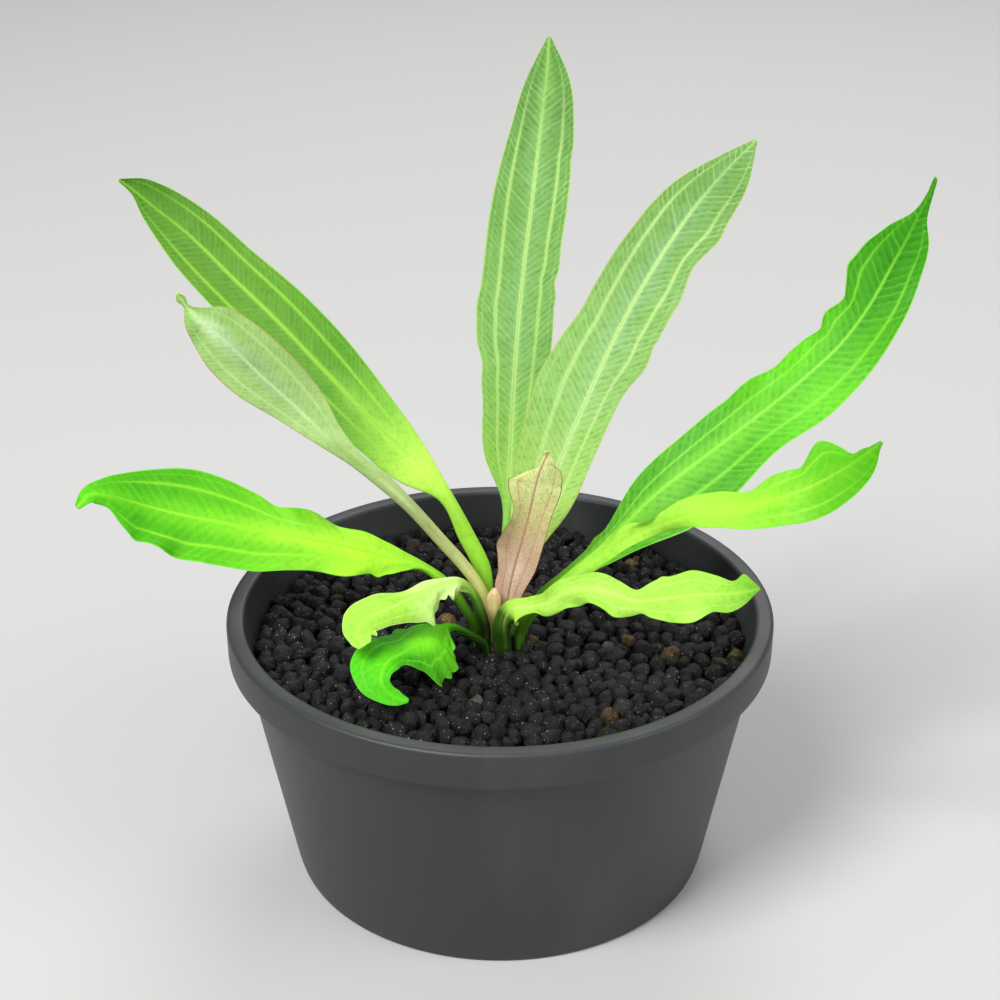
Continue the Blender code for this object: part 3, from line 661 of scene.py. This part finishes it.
# Low left leaf: broad and vivid, arching low over the soil, with a wavy lower margin and a tip that
# curls down.
low_left = leaf("low_left_leaf", looks=SPREADING, neck=22.0, ripple=(4.0, 0.5), rows=(
    (-4.3, -0.2, -2.6, 0.9, 0.9, 0, 0, 0),
    (-4.5, -0.2, 0.4, 0.9, 0.9, 0, 0, 0),
    (-6.2, -0.3, 4.2, 0.9, 0.9, 0, 0, 0),
    (-9.9, -0.5, 9.8, 1.0, 1.0, 0, 0, 0),
    (-14.8, 0.0, 13.0, 0.9, 1.2, 0, 0, 0),
    (-18.1, 0.0, 13.9, 2.7, 2.1, 0, 5, 5),
    (-21.3, 0.0, 15.0, 3.4, 2.9, 0, 5, 5),
    (-26.2, 0.0, 16.5, 5.9, 3.6, 0, 8, 8),
    (-31.1, 0.0, 17.6, 5.5, 4.5, 0, 10, 10),
    (-36.0, 0.0, 18.7, 6.6, 4.6, 0, 10, 10),
    (-41.7, 0.0, 19.8, 8.1, 6.1, 0, 10, 10),
    (-48.8, -1.0, 22.0, 8.2, 8.1, 0, 10, 10),
    (-55.0, -2.0, 23.9, 8.2, 8.5, 0, 10, 10),
    (-61.0, -4.0, 26.7, 7.3, 7.0, 0, 10, 10),
    (-64.5, -6.0, 29.0, 5.8, 5.2, 0, 10, 10),
    (-67.2, -8.0, 30.9, 2.2, 3.4, 0, 5, 5),
    (-69.9, -10.0, 31.9, 1.6, 1.5, 0, 0, 0),
    (-71.5, -12.0, 30.6, 0.5, 0.4, 0, 0, 0)),
    notches=((-1, 26.0, -0.8, 1.0), (-1, 22.5, 0.3, 1.0), (-1, 71.0, -0.5, 1.5), (1, 46.5, 0.4, 2.0)),
    frills=((1, 26.0, 50.0, 2.0, 1.9), (-1, 18.0, 40.0, 2.0, 0.9), (-1, 55.0, 74.0, 2.0, 0.8)))
# The dark green at the foot of the stalk is painted shade from the leaves above.
leaf_finish(
    low_left,
    inner=((0.0, (70, 112, 30)), (0.12, (90, 150, 34)), (0.2, (150, 218, 44)), (0.35, (196, 250, 56)),
           (0.5, (180, 242, 58)), (0.65, (130, 222, 38)), (0.85, (96, 202, 24)), (1.0, (116, 228, 32))),
    outer=((0.0, (70, 112, 30)), (0.12, (84, 140, 32)), (0.2, (140, 210, 42)), (0.35, (178, 240, 54)),
           (0.5, (134, 218, 44)), (0.65, (98, 198, 28)), (0.85, (74, 180, 18)), (1.0, (98, 214, 26))),
    rib=(156, 238, 50), line=(150, 232, 60), margin=(116, 214, 36), rib_half=0.3, veins=0.25, spacing=1.9)
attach(low_left, "root")
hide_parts("leaf_low_left")

# Right leaf: the longest, wavy along both margins, lime along its midrib and deep green further
# out, with a narrow tip that turns up.
right = leaf("right_leaf", looks=UPRIGHT, neck=19.0, ripple=(4.0, 0.6), rows=(
    (4.0, 0.5, -2.6, 1.0, 1.0, 0, 0, 0),
    (4.2, 0.5, 0.4, 1.1, 1.1, 0, 0, 0),
    (7.5, 1.0, 5.7, 1.3, 1.3, 0, 0, 0),
    (13.3, 2.0, 10.8, 1.4, 1.8, -10, 5, 5),
    (19.7, 3.0, 16.8, 2.0, 4.6, -20, 12, 12),
    (28.3, 5.0, 25.2, 4.7, 9.3, -20, 12, 12),
    (36.3, 7.0, 31.1, 5.9, 9.5, -20, 12, 12),
    (45.0, 9.0, 37.6, 6.0, 7.9, -20, 12, 12),
    (53.7, 11.0, 44.6, 5.4, 8.5, -20, 12, 12),
    (60.2, 13.0, 50.5, 5.2, 7.7, -20, 12, 12),
    (64.3, 14.0, 56.4, 5.3, 7.3, -20, 12, 12),
    (68.3, 15.0, 64.4, 6.2, 5.6, -20, 12, 12),
    (70.5, 15.0, 69.5, 4.3, 4.0, -15, 12, 12),
    (71.8, 15.0, 72.9, 1.3, 1.8, -10, 12, 12),
    (73.1, 14.4, 76.6, 0.5, 0.8, -10, 12, 12),
    (73.8, 13.0, 80.4, 0.3, 0.3, 0, 0, 0)),
    notches=((-1, 23.5, -0.5, 1.5), (-1, 69.0, 0.4, 3.0), (-1, 75.5, -0.5, 1.8), (-1, 78.9, 0.4, 1.2),
             (-1, 82.0, -0.6, 1.8), (-1, 86.2, 0.5, 1.6), (-1, 92.0, -0.7, 1.8), (-1, 100.0, 0.5, 2.5)),
    frills=((-1, 50.0, 98.0, 5.0, 0.8), (1, 66.0, 100.0, 2.0, 0.5)))
leaf_finish(
    right,
    inner=((0.0, (90, 140, 34)), (0.12, (154, 222, 64)), (0.3, (122, 200, 52)), (0.5, (116, 208, 44)),
           (0.65, (98, 198, 38)), (0.8, (62, 154, 24)), (1.0, (46, 142, 12))),
    outer=((0.0, (80, 130, 34)), (0.12, (130, 204, 54)), (0.25, (92, 176, 42)), (0.45, (86, 178, 38)),
           (0.62, (112, 220, 34)), (0.8, (70, 164, 28)), (1.0, (46, 148, 14))),
    rib=(146, 230, 60), line=(138, 220, 72), margin=(132, 214, 58), rib_half=0.32, veins=0.48, spacing=1.7,
    mottle=0.3)
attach(right, "root")
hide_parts("leaf_right")

# Low right leaf: shorter, in front of the right leaf, twisted once near its foot, with a broad
# bright blade and a torn upper margin.
low_right = leaf("low_right_leaf", looks=SPREADING, neck=25.0, ripple=(3.0, 0.5), rows=(
    (3.4, -2.3, -2.6, 1.0, 1.0, 0, 0, 0),
    (3.6, -2.5, 0.4, 1.0, 1.0, 0, 0, 0),
    (7.4, -4.0, 7.7, 1.1, 1.2, 0, 0, 0),
    (13.0, -6.0, 13.8, 1.5, 1.3, 0, 0, 0),
    (17.7, -7.0, 18.6, 1.7, 1.7, 0, 0, 0),
    (22.3, -9.0, 23.4, 2.3, 1.6, 15, 0, 0),
    (28.3, -11.0, 27.4, 1.9, 1.9, 36, 0, 0),
    (32.0, -13.0, 29.9, 2.9, 2.3, 15, 0, 0),
    (36.4, -15.0, 31.6, 3.6, 3.4, 0, 0, 0),
    (41.5, -17.5, 33.5, 2.8, 4.3, 0, 0, 0),
    (45.7, -19.5, 35.9, 4.0, 4.9, 0, 0, 0),
    (50.3, -21.0, 38.6, 4.6, 5.5, 0, 0, 0),
    (54.2, -23.0, 42.1, 5.6, 5.2, 0, 0, 0),
    (56.8, -24.5, 44.8, 2.6, 4.5, 0, 0, 0),
    (58.8, -26.0, 47.5, 0.9, 3.2, 0, 0, 0),
    (60.4, -27.0, 49.6, 0.3, 0.6, 0, 0, 0)),
    notches=((-1, 37.5, 0.6, 2.5), (-1, 67.3, 0.5, 1.2), (-1, 72.6, -0.7, 2.0), (-1, 77.6, 0.8, 1.5)),
    frills=((-1, 28.0, 44.0, 2.0, 0.8), (-1, 58.0, 80.0, 2.0, 0.7)))
leaf_finish(
    low_right,
    inner=((0.0, (96, 150, 50)), (0.15, (160, 224, 64)), (0.42, (196, 248, 92)), (0.6, (178, 244, 64)),
           (0.72, (172, 240, 60)), (0.85, (118, 206, 38)), (1.0, (88, 184, 24))),
    outer=((0.0, (96, 150, 50)), (0.15, (144, 210, 58)), (0.42, (184, 244, 84)), (0.6, (168, 240, 66)),
           (0.72, (148, 228, 54)), (0.85, (104, 202, 34)), (1.0, (78, 176, 22))),
    rib=(170, 236, 68), line=(160, 232, 64), margin=(128, 218, 50), rib_half=0.2, veins=0.2, spacing=2.2,
    under=(150, 222, 70))
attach(low_right, "root")
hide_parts("leaf_low_right")

# Front right leaf: low and pale lime, reaching forward over the soil in shallow waves, with its
# margins rolled under in places.
front_right = leaf("front_right_leaf", looks=SPREADING, neck=9.0, ripple=(4.0, 0.4), rows=(
    (1.2, -4.4, -2.6, 1.4, 1.0, 0, 0, 0),
    (0.9, -4.6, 0.4, 1.8, 1.1, 0, 0, 0),
    (1.0, -5.6, 4.8, 2.1, 1.3, 0, 0, 0),
    (2.5, -7.0, 8.2, 1.9, 3.2, 0, 0, 0),
    (4.9, -8.0, 9.0, 2.0, 1.6, 0, 0, 0),
    (8.0, -9.5, 10.6, 1.9, 2.4, 0, 0, 0),
    (11.5, -11.0, 13.7, 2.6, 2.9, 0, 0, 0),
    (15.4, -13.0, 15.5, 3.2, 2.9, 0, 0, 0),
    (19.3, -15.0, 15.5, 2.6, 3.3, 0, 0, 0),
    (23.1, -17.0, 15.2, 2.2, 2.6, 0, 0, 0),
    (26.2, -18.5, 16.2, 3.7, 3.3, 0, 0, 0),
    (29.5, -20.0, 17.6, 4.2, 4.6, 0, 0, 0),
    (32.7, -22.0, 19.1, 4.3, 4.9, 0, 0, 0),
    (35.6, -23.5, 20.2, 3.3, 3.1, 0, 0, 0),
    (38.2, -25.0, 21.1, 2.4, 3.2, 0, 0, 0),
    (40.5, -26.0, 22.0, 2.7, 2.2, 0, 0, 0),
    (42.6, -27.0, 23.1, 0.4, 0.4, 0, 0, 0)),
    notches=((-1, 41.0, -0.4, 1.0), (-1, 45.5, -0.3, 2.0), (-1, 56.5, -0.6, 0.9), (1, 16.0, 0.4, 1.0),
             (1, 34.0, -0.7, 1.5), (1, 37.7, 0.6, 1.2)),
    frills=((1, 10.0, 46.0, 4.0, 0.7), (-1, 18.0, 46.0, 3.0, 0.5)))
# The dark green of the stalk, up to 0.15 of the length, is painted shade behind the blade's first lobe.
leaf_finish(
    front_right,
    inner=((0.0, (46, 84, 20)), (0.15, (60, 104, 26)), (0.18, (186, 238, 92)), (0.45, (196, 242, 106)),
           (0.6, (180, 234, 78)), (0.8, (190, 242, 90)), (0.93, (152, 214, 62)), (1.0, (110, 188, 38))),
    outer=((0.0, (46, 84, 20)), (0.15, (56, 98, 24)), (0.18, (180, 232, 84)), (0.45, (170, 226, 82)),
           (0.6, (174, 230, 80)), (0.8, (182, 240, 92)), (0.93, (142, 206, 62)), (1.0, (100, 178, 34))),
    rib=(200, 242, 112), line=(194, 240, 98), margin=(156, 220, 68), rib_half=0.2, veins=0.15, spacing=1.6)
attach(front_right, "root")
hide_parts("leaf_front_right")

# Upper curled leaf: a short pale lime leaf at the front left, rolled over its length and torn at
# the margins, that droops over the lower curled one.
curled_upper = leaf("curled_upper_leaf", looks=SPREADING, neck=17.0, rows=(
    (-2.5, -1.8, -2.6, 0.8, 0.8, 0, 0, 0),
    (-2.5, -2.2, 0.4, 0.9, 0.9, 0, 0, 0),
    (-3.2, -4.3, 5.0, 1.0, 1.0, 0, 0, 0),
    (-5.7, -6.6, 12.0, 1.0, 1.0, 0, 0, 0),
    (-7.6, -8.5, 14.5, 2.2, 0.8, 0, -20, 0),
    (-9.9, -10.0, 14.8, 2.9, 1.1, 0, -50, 0),
    (-12.4, -12.0, 14.8, 4.1, 1.6, 0, -50, 0),
    (-15.1, -14.0, 14.3, 4.8, 1.8, 0, -40, 0),
    (-17.7, -16.0, 13.9, 3.5, 2.6, 0, -30, 0),
    (-20.7, -18.5, 13.7, 2.8, 3.6, 0, -20, -10),
    (-23.4, -21.0, 13.2, 2.8, 3.5, 0, -10, -10),
    (-24.2, -23.0, 12.0, 3.5, 2.1, 0, 0, 0),
    (-22.9, -24.7, 10.8, 1.5, 0.9, 0, 0, 0)),
    notches=((-1, 18.4, 0.3, 0.3), (-1, 19.3, -0.4, 0.4), (-1, 20.2, 0.4, 0.3), (-1, 21.3, -0.9, 0.5),
             (-1, 22.2, 0.5, 0.3), (-1, 24.0, 0.9, 0.6), (-1, 27.6, -1.8, 0.8), (1, 42.8, 0.3, 0.5)),
    frills=((-1, 15.0, 30.0, 2.5, 0.6), (1, 22.0, 42.0, 2.0, 0.5)))
# The dark green of the stalk, up to 0.3 of the length, is painted shade from the leaves above, and the
# deeper green back is painted shade where the leaf rolls under.
leaf_finish(
    curled_upper,
    inner=((0.0, (34, 54, 16)), (0.2, (54, 92, 20)), (0.3, (100, 160, 42)), (0.38, (160, 206, 88)),
           (0.44, (206, 242, 136)), (0.7, (172, 228, 78)), (1.0, (180, 234, 86))),
    outer=((0.0, (34, 54, 16)), (0.2, (50, 88, 20)), (0.3, (92, 150, 40)), (0.38, (170, 212, 96)),
           (0.44, (222, 248, 162)), (0.62, (210, 246, 140)), (0.7, (172, 228, 76)), (1.0, (168, 226, 72))),
    rib=(194, 240, 108), line=(190, 238, 104), margin=(218, 248, 152), rib_half=0.2, veins=0.2,
    spacing=1.2, under=(80, 150, 36))
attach(curled_upper, "root")
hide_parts("leaf_curled_upper")

# Lower curled leaf: vivid green, hooked round in front of the crown so that it lies over the soil,
# with a fan of torn teeth on its inner half.
curled_lower = leaf("curled_lower_leaf", looks=LYING, neck=13.0, rows=(
    (-2.2, -4.3, -2.6, 0.8, 0.8, 0, 0, 0),
    (-2.8, -4.6, -0.6, 0.8, 0.8, 0, 0, 0),
    (-5.4, -5.6, 2.0, 0.8, 0.8, 0, 0, 0),
    (-8.2, -7.0, 4.2, 0.8, 0.8, 0, 0, 0),
    (-10.2, -9.5, 5.9, 1.6, 0.8, 0, -20, 0),
    (-11.7, -12.0, 6.4, 5.5, 3.8, 0, -40, -20),
    (-13.2, -14.8, 6.5, 8.4, 5.1, 0, -50, -20),
    (-15.0, -17.5, 6.5, 6.8, 5.1, 0, -50, -20),
    (-17.0, -20.5, 6.8, 2.2, 5.7, 0, -20, -10),
    (-19.0, -22.8, 6.7, 2.2, 5.8, 0, -10, 0),
    (-20.0, -24.8, 5.9, 1.8, 5.5, 0, 0, 0),
    (-20.0, -26.3, 4.7, 1.5, 4.0, 0, 0, 0),
    (-19.0, -27.3, 3.4, 1.5, 2.4, 0, 0, 0),
    (-17.4, -27.9, 2.6, 1.5, 1.5, 0, 0, 0),
    (-15.4, -28.0, 2.2, 0.4, 0.4, 0, 0, 0)),
    notches=((-1, 13.8, -0.9, 0.9), (-1, 15.2, -0.8, 0.5), (-1, 16.9, -0.4, 0.3), (-1, 17.6, 0.5, 0.3),
             (-1, 18.3, -0.4, 0.3), (-1, 19.4, 0.6, 0.3), (-1, 20.1, -0.2, 0.3), (-1, 21.0, 0.4, 0.3),
             (-1, 23.0, -2.0, 1.0), (-1, 25.6, -1.1, 1.0), (1, 14.0, 0.6, 1.2), (1, 23.0, 0.5, 0.8)),
    frills=((-1, 4.0, 20.0, 6.0, 0.5), (1, 10.0, 30.0, 2.0, 0.6)))
# The dark green of the stalk, up to 0.2 of the length, the darker band at 0.65 of the length and the very
# dark back are painted shade under the leaves above and inside the hook.
leaf_finish(
    curled_lower,
    inner=((0.0, (24, 44, 14)), (0.2, (60, 110, 24)), (0.32, (108, 208, 28)), (0.5, (130, 236, 34)),
           (0.65, (88, 196, 24)), (0.8, (100, 222, 24)), (1.0, (82, 204, 20))),
    outer=((0.0, (24, 44, 14)), (0.2, (54, 100, 22)), (0.32, (100, 202, 26)), (0.5, (92, 192, 24)),
           (0.65, (58, 158, 18)), (0.8, (84, 208, 22)), (1.0, (80, 196, 24))),
    rib=(118, 224, 32), line=(128, 232, 42), margin=(100, 218, 28), rib_half=0.2, veins=0.25,
    spacing=1.4, under=(30, 108, 12))
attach(curled_lower, "root")
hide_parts("leaf_curled_lower")

# Loose soil: round grains of dark baked clay, 3 to 4 mm across, poured over the bed and settled
# round the feet of the stalks. A few are tan or grey. The grains that lie deeper have fewer faces.
GRAINS = 1500
GRAIN_RADIUS = 1.72
GRAIN_SPREAD = 0.25
SMALLEST_GRAIN = 1.1
LARGEST_GRAIN = 2.4
GRAIN_SQUEEZE = 0.95
BED_OVERLAP = 1.6
START_ROOM = 2
START_BELOW = -1.8
TOP_LEVEL = -0.1
LOWEST_TOP = 1.5
SETTLING = 14
SHAKES = 14
NEIGHBOURS = 6.0
PUSH = 0.42
SINK = 0.03
STALK_ROOM = 0.9
WALL_ROOM = 0.1
CROWN_REACH = 6.0
CROWN_DEPTH = -3.6
LUMP_HEIGHT = 1.5
LUMP_SIZE = 1.3
TOP_GRAINS = 560
ODD_GRAINS = (((-8.5, 4.5, -1.0), 0.996), ((6.0, -0.4, -1.5), 0.991), ((22.8, -0.4, -1.5), 0.993),
              ((19.8, -3.6, -1.5), 1.0))

draw = np.random.default_rng(11)
radii = np.clip(draw.normal(GRAIN_RADIUS, GRAIN_SPREAD, GRAINS), SMALLEST_GRAIN, LARGEST_GRAIN)
around = draw.uniform(0, 2 * np.pi, GRAINS)
out = (wall_radius(SOIL_LEVEL) - WALL - START_ROOM) * np.sqrt(draw.uniform(0, 1, GRAINS))
floor = BED_TOP - BED_OVERLAP - SOIL_LEVEL
centres = np.column_stack((out * np.cos(around), out * np.sin(around),
                           draw.uniform(floor, START_BELOW, GRAINS)))
ceiling = TOP_LEVEL - LOWEST_TOP * draw.uniform(0, 1, GRAINS) ** 1.6
posts = np.concatenate(stalk_feet)
for settle in range(SETTLING):
    apart = np.linalg.norm(centres[:, None, :] - centres[None, :, :], axis=2)
    first, second = np.nonzero(np.triu(apart < NEIGHBOURS, 1))
    want = GRAIN_SQUEEZE * (radii[first] + radii[second])
    for shake in range(SHAKES):
        gap = centres[first] - centres[second]
        space = np.linalg.norm(gap, axis=1) + 1e-9
        push = gap * (np.clip(want - space, 0, None) / space * PUSH)[:, None]
        for axis in range(3):
            centres[:, axis] += np.bincount(first, push[:, axis], GRAINS)
            centres[:, axis] -= np.bincount(second, push[:, axis], GRAINS)
        centres[:, 2] -= SINK
        for x, y, z, post in posts:
            gap = centres - (x, y, z)
            space = np.linalg.norm(gap, axis=1) + 1e-9
            centres += gap * (np.clip(STALK_ROOM * radii + post - space, 0, None) / space)[:, None]
        centres[:, 2] = np.minimum(centres[:, 2], ceiling - radii)
        centres[:, 2] = np.maximum(centres[:, 2], floor + radii)
        from_axis = np.linalg.norm(centres[:, :2], axis=1)
        room = wall_radius(SOIL_LEVEL + centres[:, 2]) - WALL - WALL_ROOM - radii
        centres[:, :2] *= np.minimum(1, room / from_axis)[:, None]
tones = draw.uniform(0, 1, GRAINS)
for place, odd_tone in ODD_GRAINS:
    tones[np.argmin(np.linalg.norm(centres - place, axis=1))] = odd_tone
near_crown = np.linalg.norm(centres[:, :2], axis=1) < CROWN_REACH
keep = np.nonzero(~(near_crown & (centres[:, 2] < CROWN_DEPTH)))[0]
by_top = keep[np.argsort(-(centres[keep, 2] + radii[keep]))]

clay, shade = new_finish("baked_clay")
tone = shade.node("ShaderNodeAttribute", {"attribute_name": "tone"}, {}, "Fac")
rough = speckle(shade, 0.6, 4.0)
pores = speckle(shade, 0.15, 2.0)
body = shade.node("ShaderNodeValToRGB", {"stops": [
    (0.0, paint(9, 9, 11)), (0.5, paint(18, 18, 21)), (0.98, paint(30, 29, 31)),
    (0.988, paint(66, 52, 32)), (0.996, paint(132, 104, 54)), (1.0, paint(82, 84, 84))]},
    {"Fac": tone}, "Color")
body = mix(rising(rough, 0.46, 0.54) * 0.7, body, (0.3, 0.27, 0.24, 1.0), "MULTIPLY")
# Lighter grey on the raised parts of the bump: part grey mottle of the clay, part painted highlight.
body = mix(rising(rough, 0.52, 0.75) * 0.45, body, paint(60, 56, 52))
# Painted shade: near-black in the pits of the bump.
body = mix(1 - rising(pores, 0.3, 0.45), body, paint(7, 7, 8))
# Painted glints: small near-white specks laid into the clay's colour.
body = mix(rising(speckle(shade, 0.3, 0.0), 0.8, 0.83) * 0.9, body, paint(206, 202, 190))
shown(bumpy(shade, body, roughness=0.2 + 0.6 * pores, relief=rough + 0.35 * pores, depth=0.4,
            specular=0.3))

pour = bpy.data.node_groups.new("pour_of_grains", "GeometryNodeTree")
for label, kind in (("Geometry", "Geometry"), ("Fineness", "Int"), ("Lump Height", "Float"),
                    ("Lump Size", "Float"), ("Clay", "Material")):
    pour.interface.new_socket(label, in_out="INPUT", socket_type="NodeSocket" + kind)
pour.interface.new_socket("Geometry", in_out="OUTPUT", socket_type="NodeSocketGeometry")
sockets = Wire(pour)
given = {item.name: sockets.node("NodeGroupInput", {}, {}, item.identifier)
         for item in pour.interface.items_tree if item.in_out == "INPUT"}
ball = sockets.node("GeometryNodeMeshIcoSphere", {}, {
    "Radius": 1.0, "Subdivisions": given["Fineness"]}, "Mesh")
size = sockets.node("GeometryNodeInputNamedAttribute", {"data_type": "FLOAT"}, {"Name": "radius"},
                    "Attribute")
oval = sockets.node("FunctionNodeRandomValue", {"data_type": "FLOAT_VECTOR"}, {
    "Min": (0.9, 0.78, 0.66), "Max": (1.2, 1.04, 0.96), "Seed": 3}, "Value")
turn = sockets.node("FunctionNodeRandomValue", {"data_type": "FLOAT_VECTOR"}, {
    "Min": (0, 0, 0), "Max": (6.28, 6.28, 6.28), "Seed": 5}, "Value")
scale = sockets.node("ShaderNodeVectorMath", {"operation": "SCALE"}, {
    "Vector": oval, "Scale": size}, "Vector")
poured = sockets.node("GeometryNodeInstanceOnPoints", {}, {
    "Points": given["Geometry"], "Instance": ball, "Rotation": turn, "Scale": scale}, "Instances")
real = sockets.node("GeometryNodeRealizeInstances", {}, {"Geometry": poured}, "Geometry")
lump = sockets.node("ShaderNodeTexNoise", {}, {
    "Vector": sockets.node("GeometryNodeInputPosition", {}, {}, "Position"),
    "Scale": 1.0 / given["Lump Size"], "Detail": 2.0}, "Fac")
outward = sockets.node("ShaderNodeVectorMath", {"operation": "SCALE"}, {
    "Vector": sockets.node("GeometryNodeInputNormal", {}, {}, "Normal"),
    "Scale": (lump - 0.5) * given["Lump Height"]}, "Vector")
lumpy = sockets.node("GeometryNodeSetPosition", {}, {"Geometry": real, "Offset": outward}, "Geometry")
smooth = sockets.node("GeometryNodeSetShadeSmooth", {}, {"Geometry": lumpy}, "Geometry")
finished = sockets.node("GeometryNodeSetMaterial", {}, {
    "Geometry": smooth, "Material": given["Clay"]}, "Geometry")
sockets.node("NodeGroupOutput", {}, {
    next(item.identifier for item in pour.interface.items_tree if item.in_out == "OUTPUT"): finished}, "")

for name, chosen, fineness in (("top_grains", by_top[:TOP_GRAINS], 3),
                               ("deeper_grains", by_top[TOP_GRAINS:], 2)):
    pellets = bpy.data.meshes.new(name)
    pellets.from_pydata(((centres[chosen] + (0, 0, SOIL_LEVEL)) * MM).tolist(), [], [])
    for label, numbers in (("radius", radii[chosen] * MM), ("tone", tones[chosen])):
        layer = pellets.attributes.new(label, "FLOAT", "POINT")
        layer.data.foreach_set("value", numbers.astype(np.float32))
    grains = bpy.data.objects.new(name, pellets)
    bpy.context.scene.collection.objects.link(grains)
    pouring = grains.modifiers.new("pour", "NODES")
    pouring.node_group = pour
    settings = {"Fineness": fineness, "Lump Height": LUMP_HEIGHT * MM, "Lump Size": LUMP_SIZE * MM,
                "Clay": clay}
    for item in pour.interface.items_tree:
        if item.name in settings:
            pouring[item.identifier] = settings[item.name]
    applied(grains)
    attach(grains, "root")
    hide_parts("soil")

# Studio: a pale matt floor, a large soft lamp above on the left, a weaker one on the right, one
# behind for the glow of the leaves, and a pale surround.
FLOOR_HALF = 4000.0
FLOOR_GREY = (0.5, 0.5, 0.49, 1.0)
LAMPS = (
    ("key_lamp", (-0.45, -0.55, 0.95), 0.5, 14.0),
    ("fill_lamp", (0.75, -0.35, 0.6), 0.7, 3.5),
    ("back_lamp", (0.15, 0.7, 0.8), 0.6, 4.0),
)
LIT_PLACE = Vector((0.0, 0.0, 0.07))
SURROUND_COLOUR = (0.97, 0.97, 1.0, 1.0)
SURROUND_STRENGTH = 0.42

corners = [(x * FLOOR_HALF, y * FLOOR_HALF, 0.0) for x, y in ((-1, -1), (1, -1), (1, 1), (-1, 1))]
studio_floor = add_mesh("studio_floor", corners, [(0, 1, 2, 3)], sharp_angle=50.0)
matt, shade = new_finish("matt_floor")
shown(shade.node("ShaderNodeBsdfPrincipled", {}, {"Base Color": FLOOR_GREY, "Roughness": 0.9}, "BSDF"))
studio_floor.data.materials.append(matt)

for name, place, size_across, power in LAMPS:
    lamp = bpy.data.lights.new(name, "AREA")
    lamp.shape = "DISK"
    lamp.size = size_across
    lamp.energy = power
    holder = bpy.data.objects.new(name, lamp)
    holder.location = place
    holder.rotation_euler = (Vector(place) - LIT_PLACE).to_track_quat("Z", "Y").to_euler()
    bpy.context.scene.collection.objects.link(holder)

surround = bpy.data.worlds.new("pale_surround")
surround.use_nodes = True
backdrop = surround.node_tree.nodes["Background"].inputs
backdrop["Color"].default_value = SURROUND_COLOUR
backdrop["Strength"].default_value = SURROUND_STRENGTH
bpy.context.scene.world = surround
bpy.context.scene.view_settings.view_transform = "Standard"

# Camera: where the photograph was taken from, 37 cm from the crown and looking down on it, turned
# a little lower so that the whole pot is in the frame.
FRAME_PIXELS = 1000
FOCAL_PIXELS = 2040
SENSOR = 36.0
LOOKS_DOWN = 26.4
CAMERA_AT = (0.0, -0.32055, 0.23014)

lens = bpy.data.cameras.new("view_of_the_photo")
lens.sensor_width = SENSOR
lens.lens = SENSOR * FOCAL_PIXELS / FRAME_PIXELS
lens.clip_start = 0.01
camera = bpy.data.objects.new("view_of_the_photo", lens)
camera.location = CAMERA_AT
camera.rotation_euler = (math.radians(90 - LOOKS_DOWN), 0.0, 0.0)
bpy.context.scene.collection.objects.link(camera)
bpy.context.scene.camera = camera
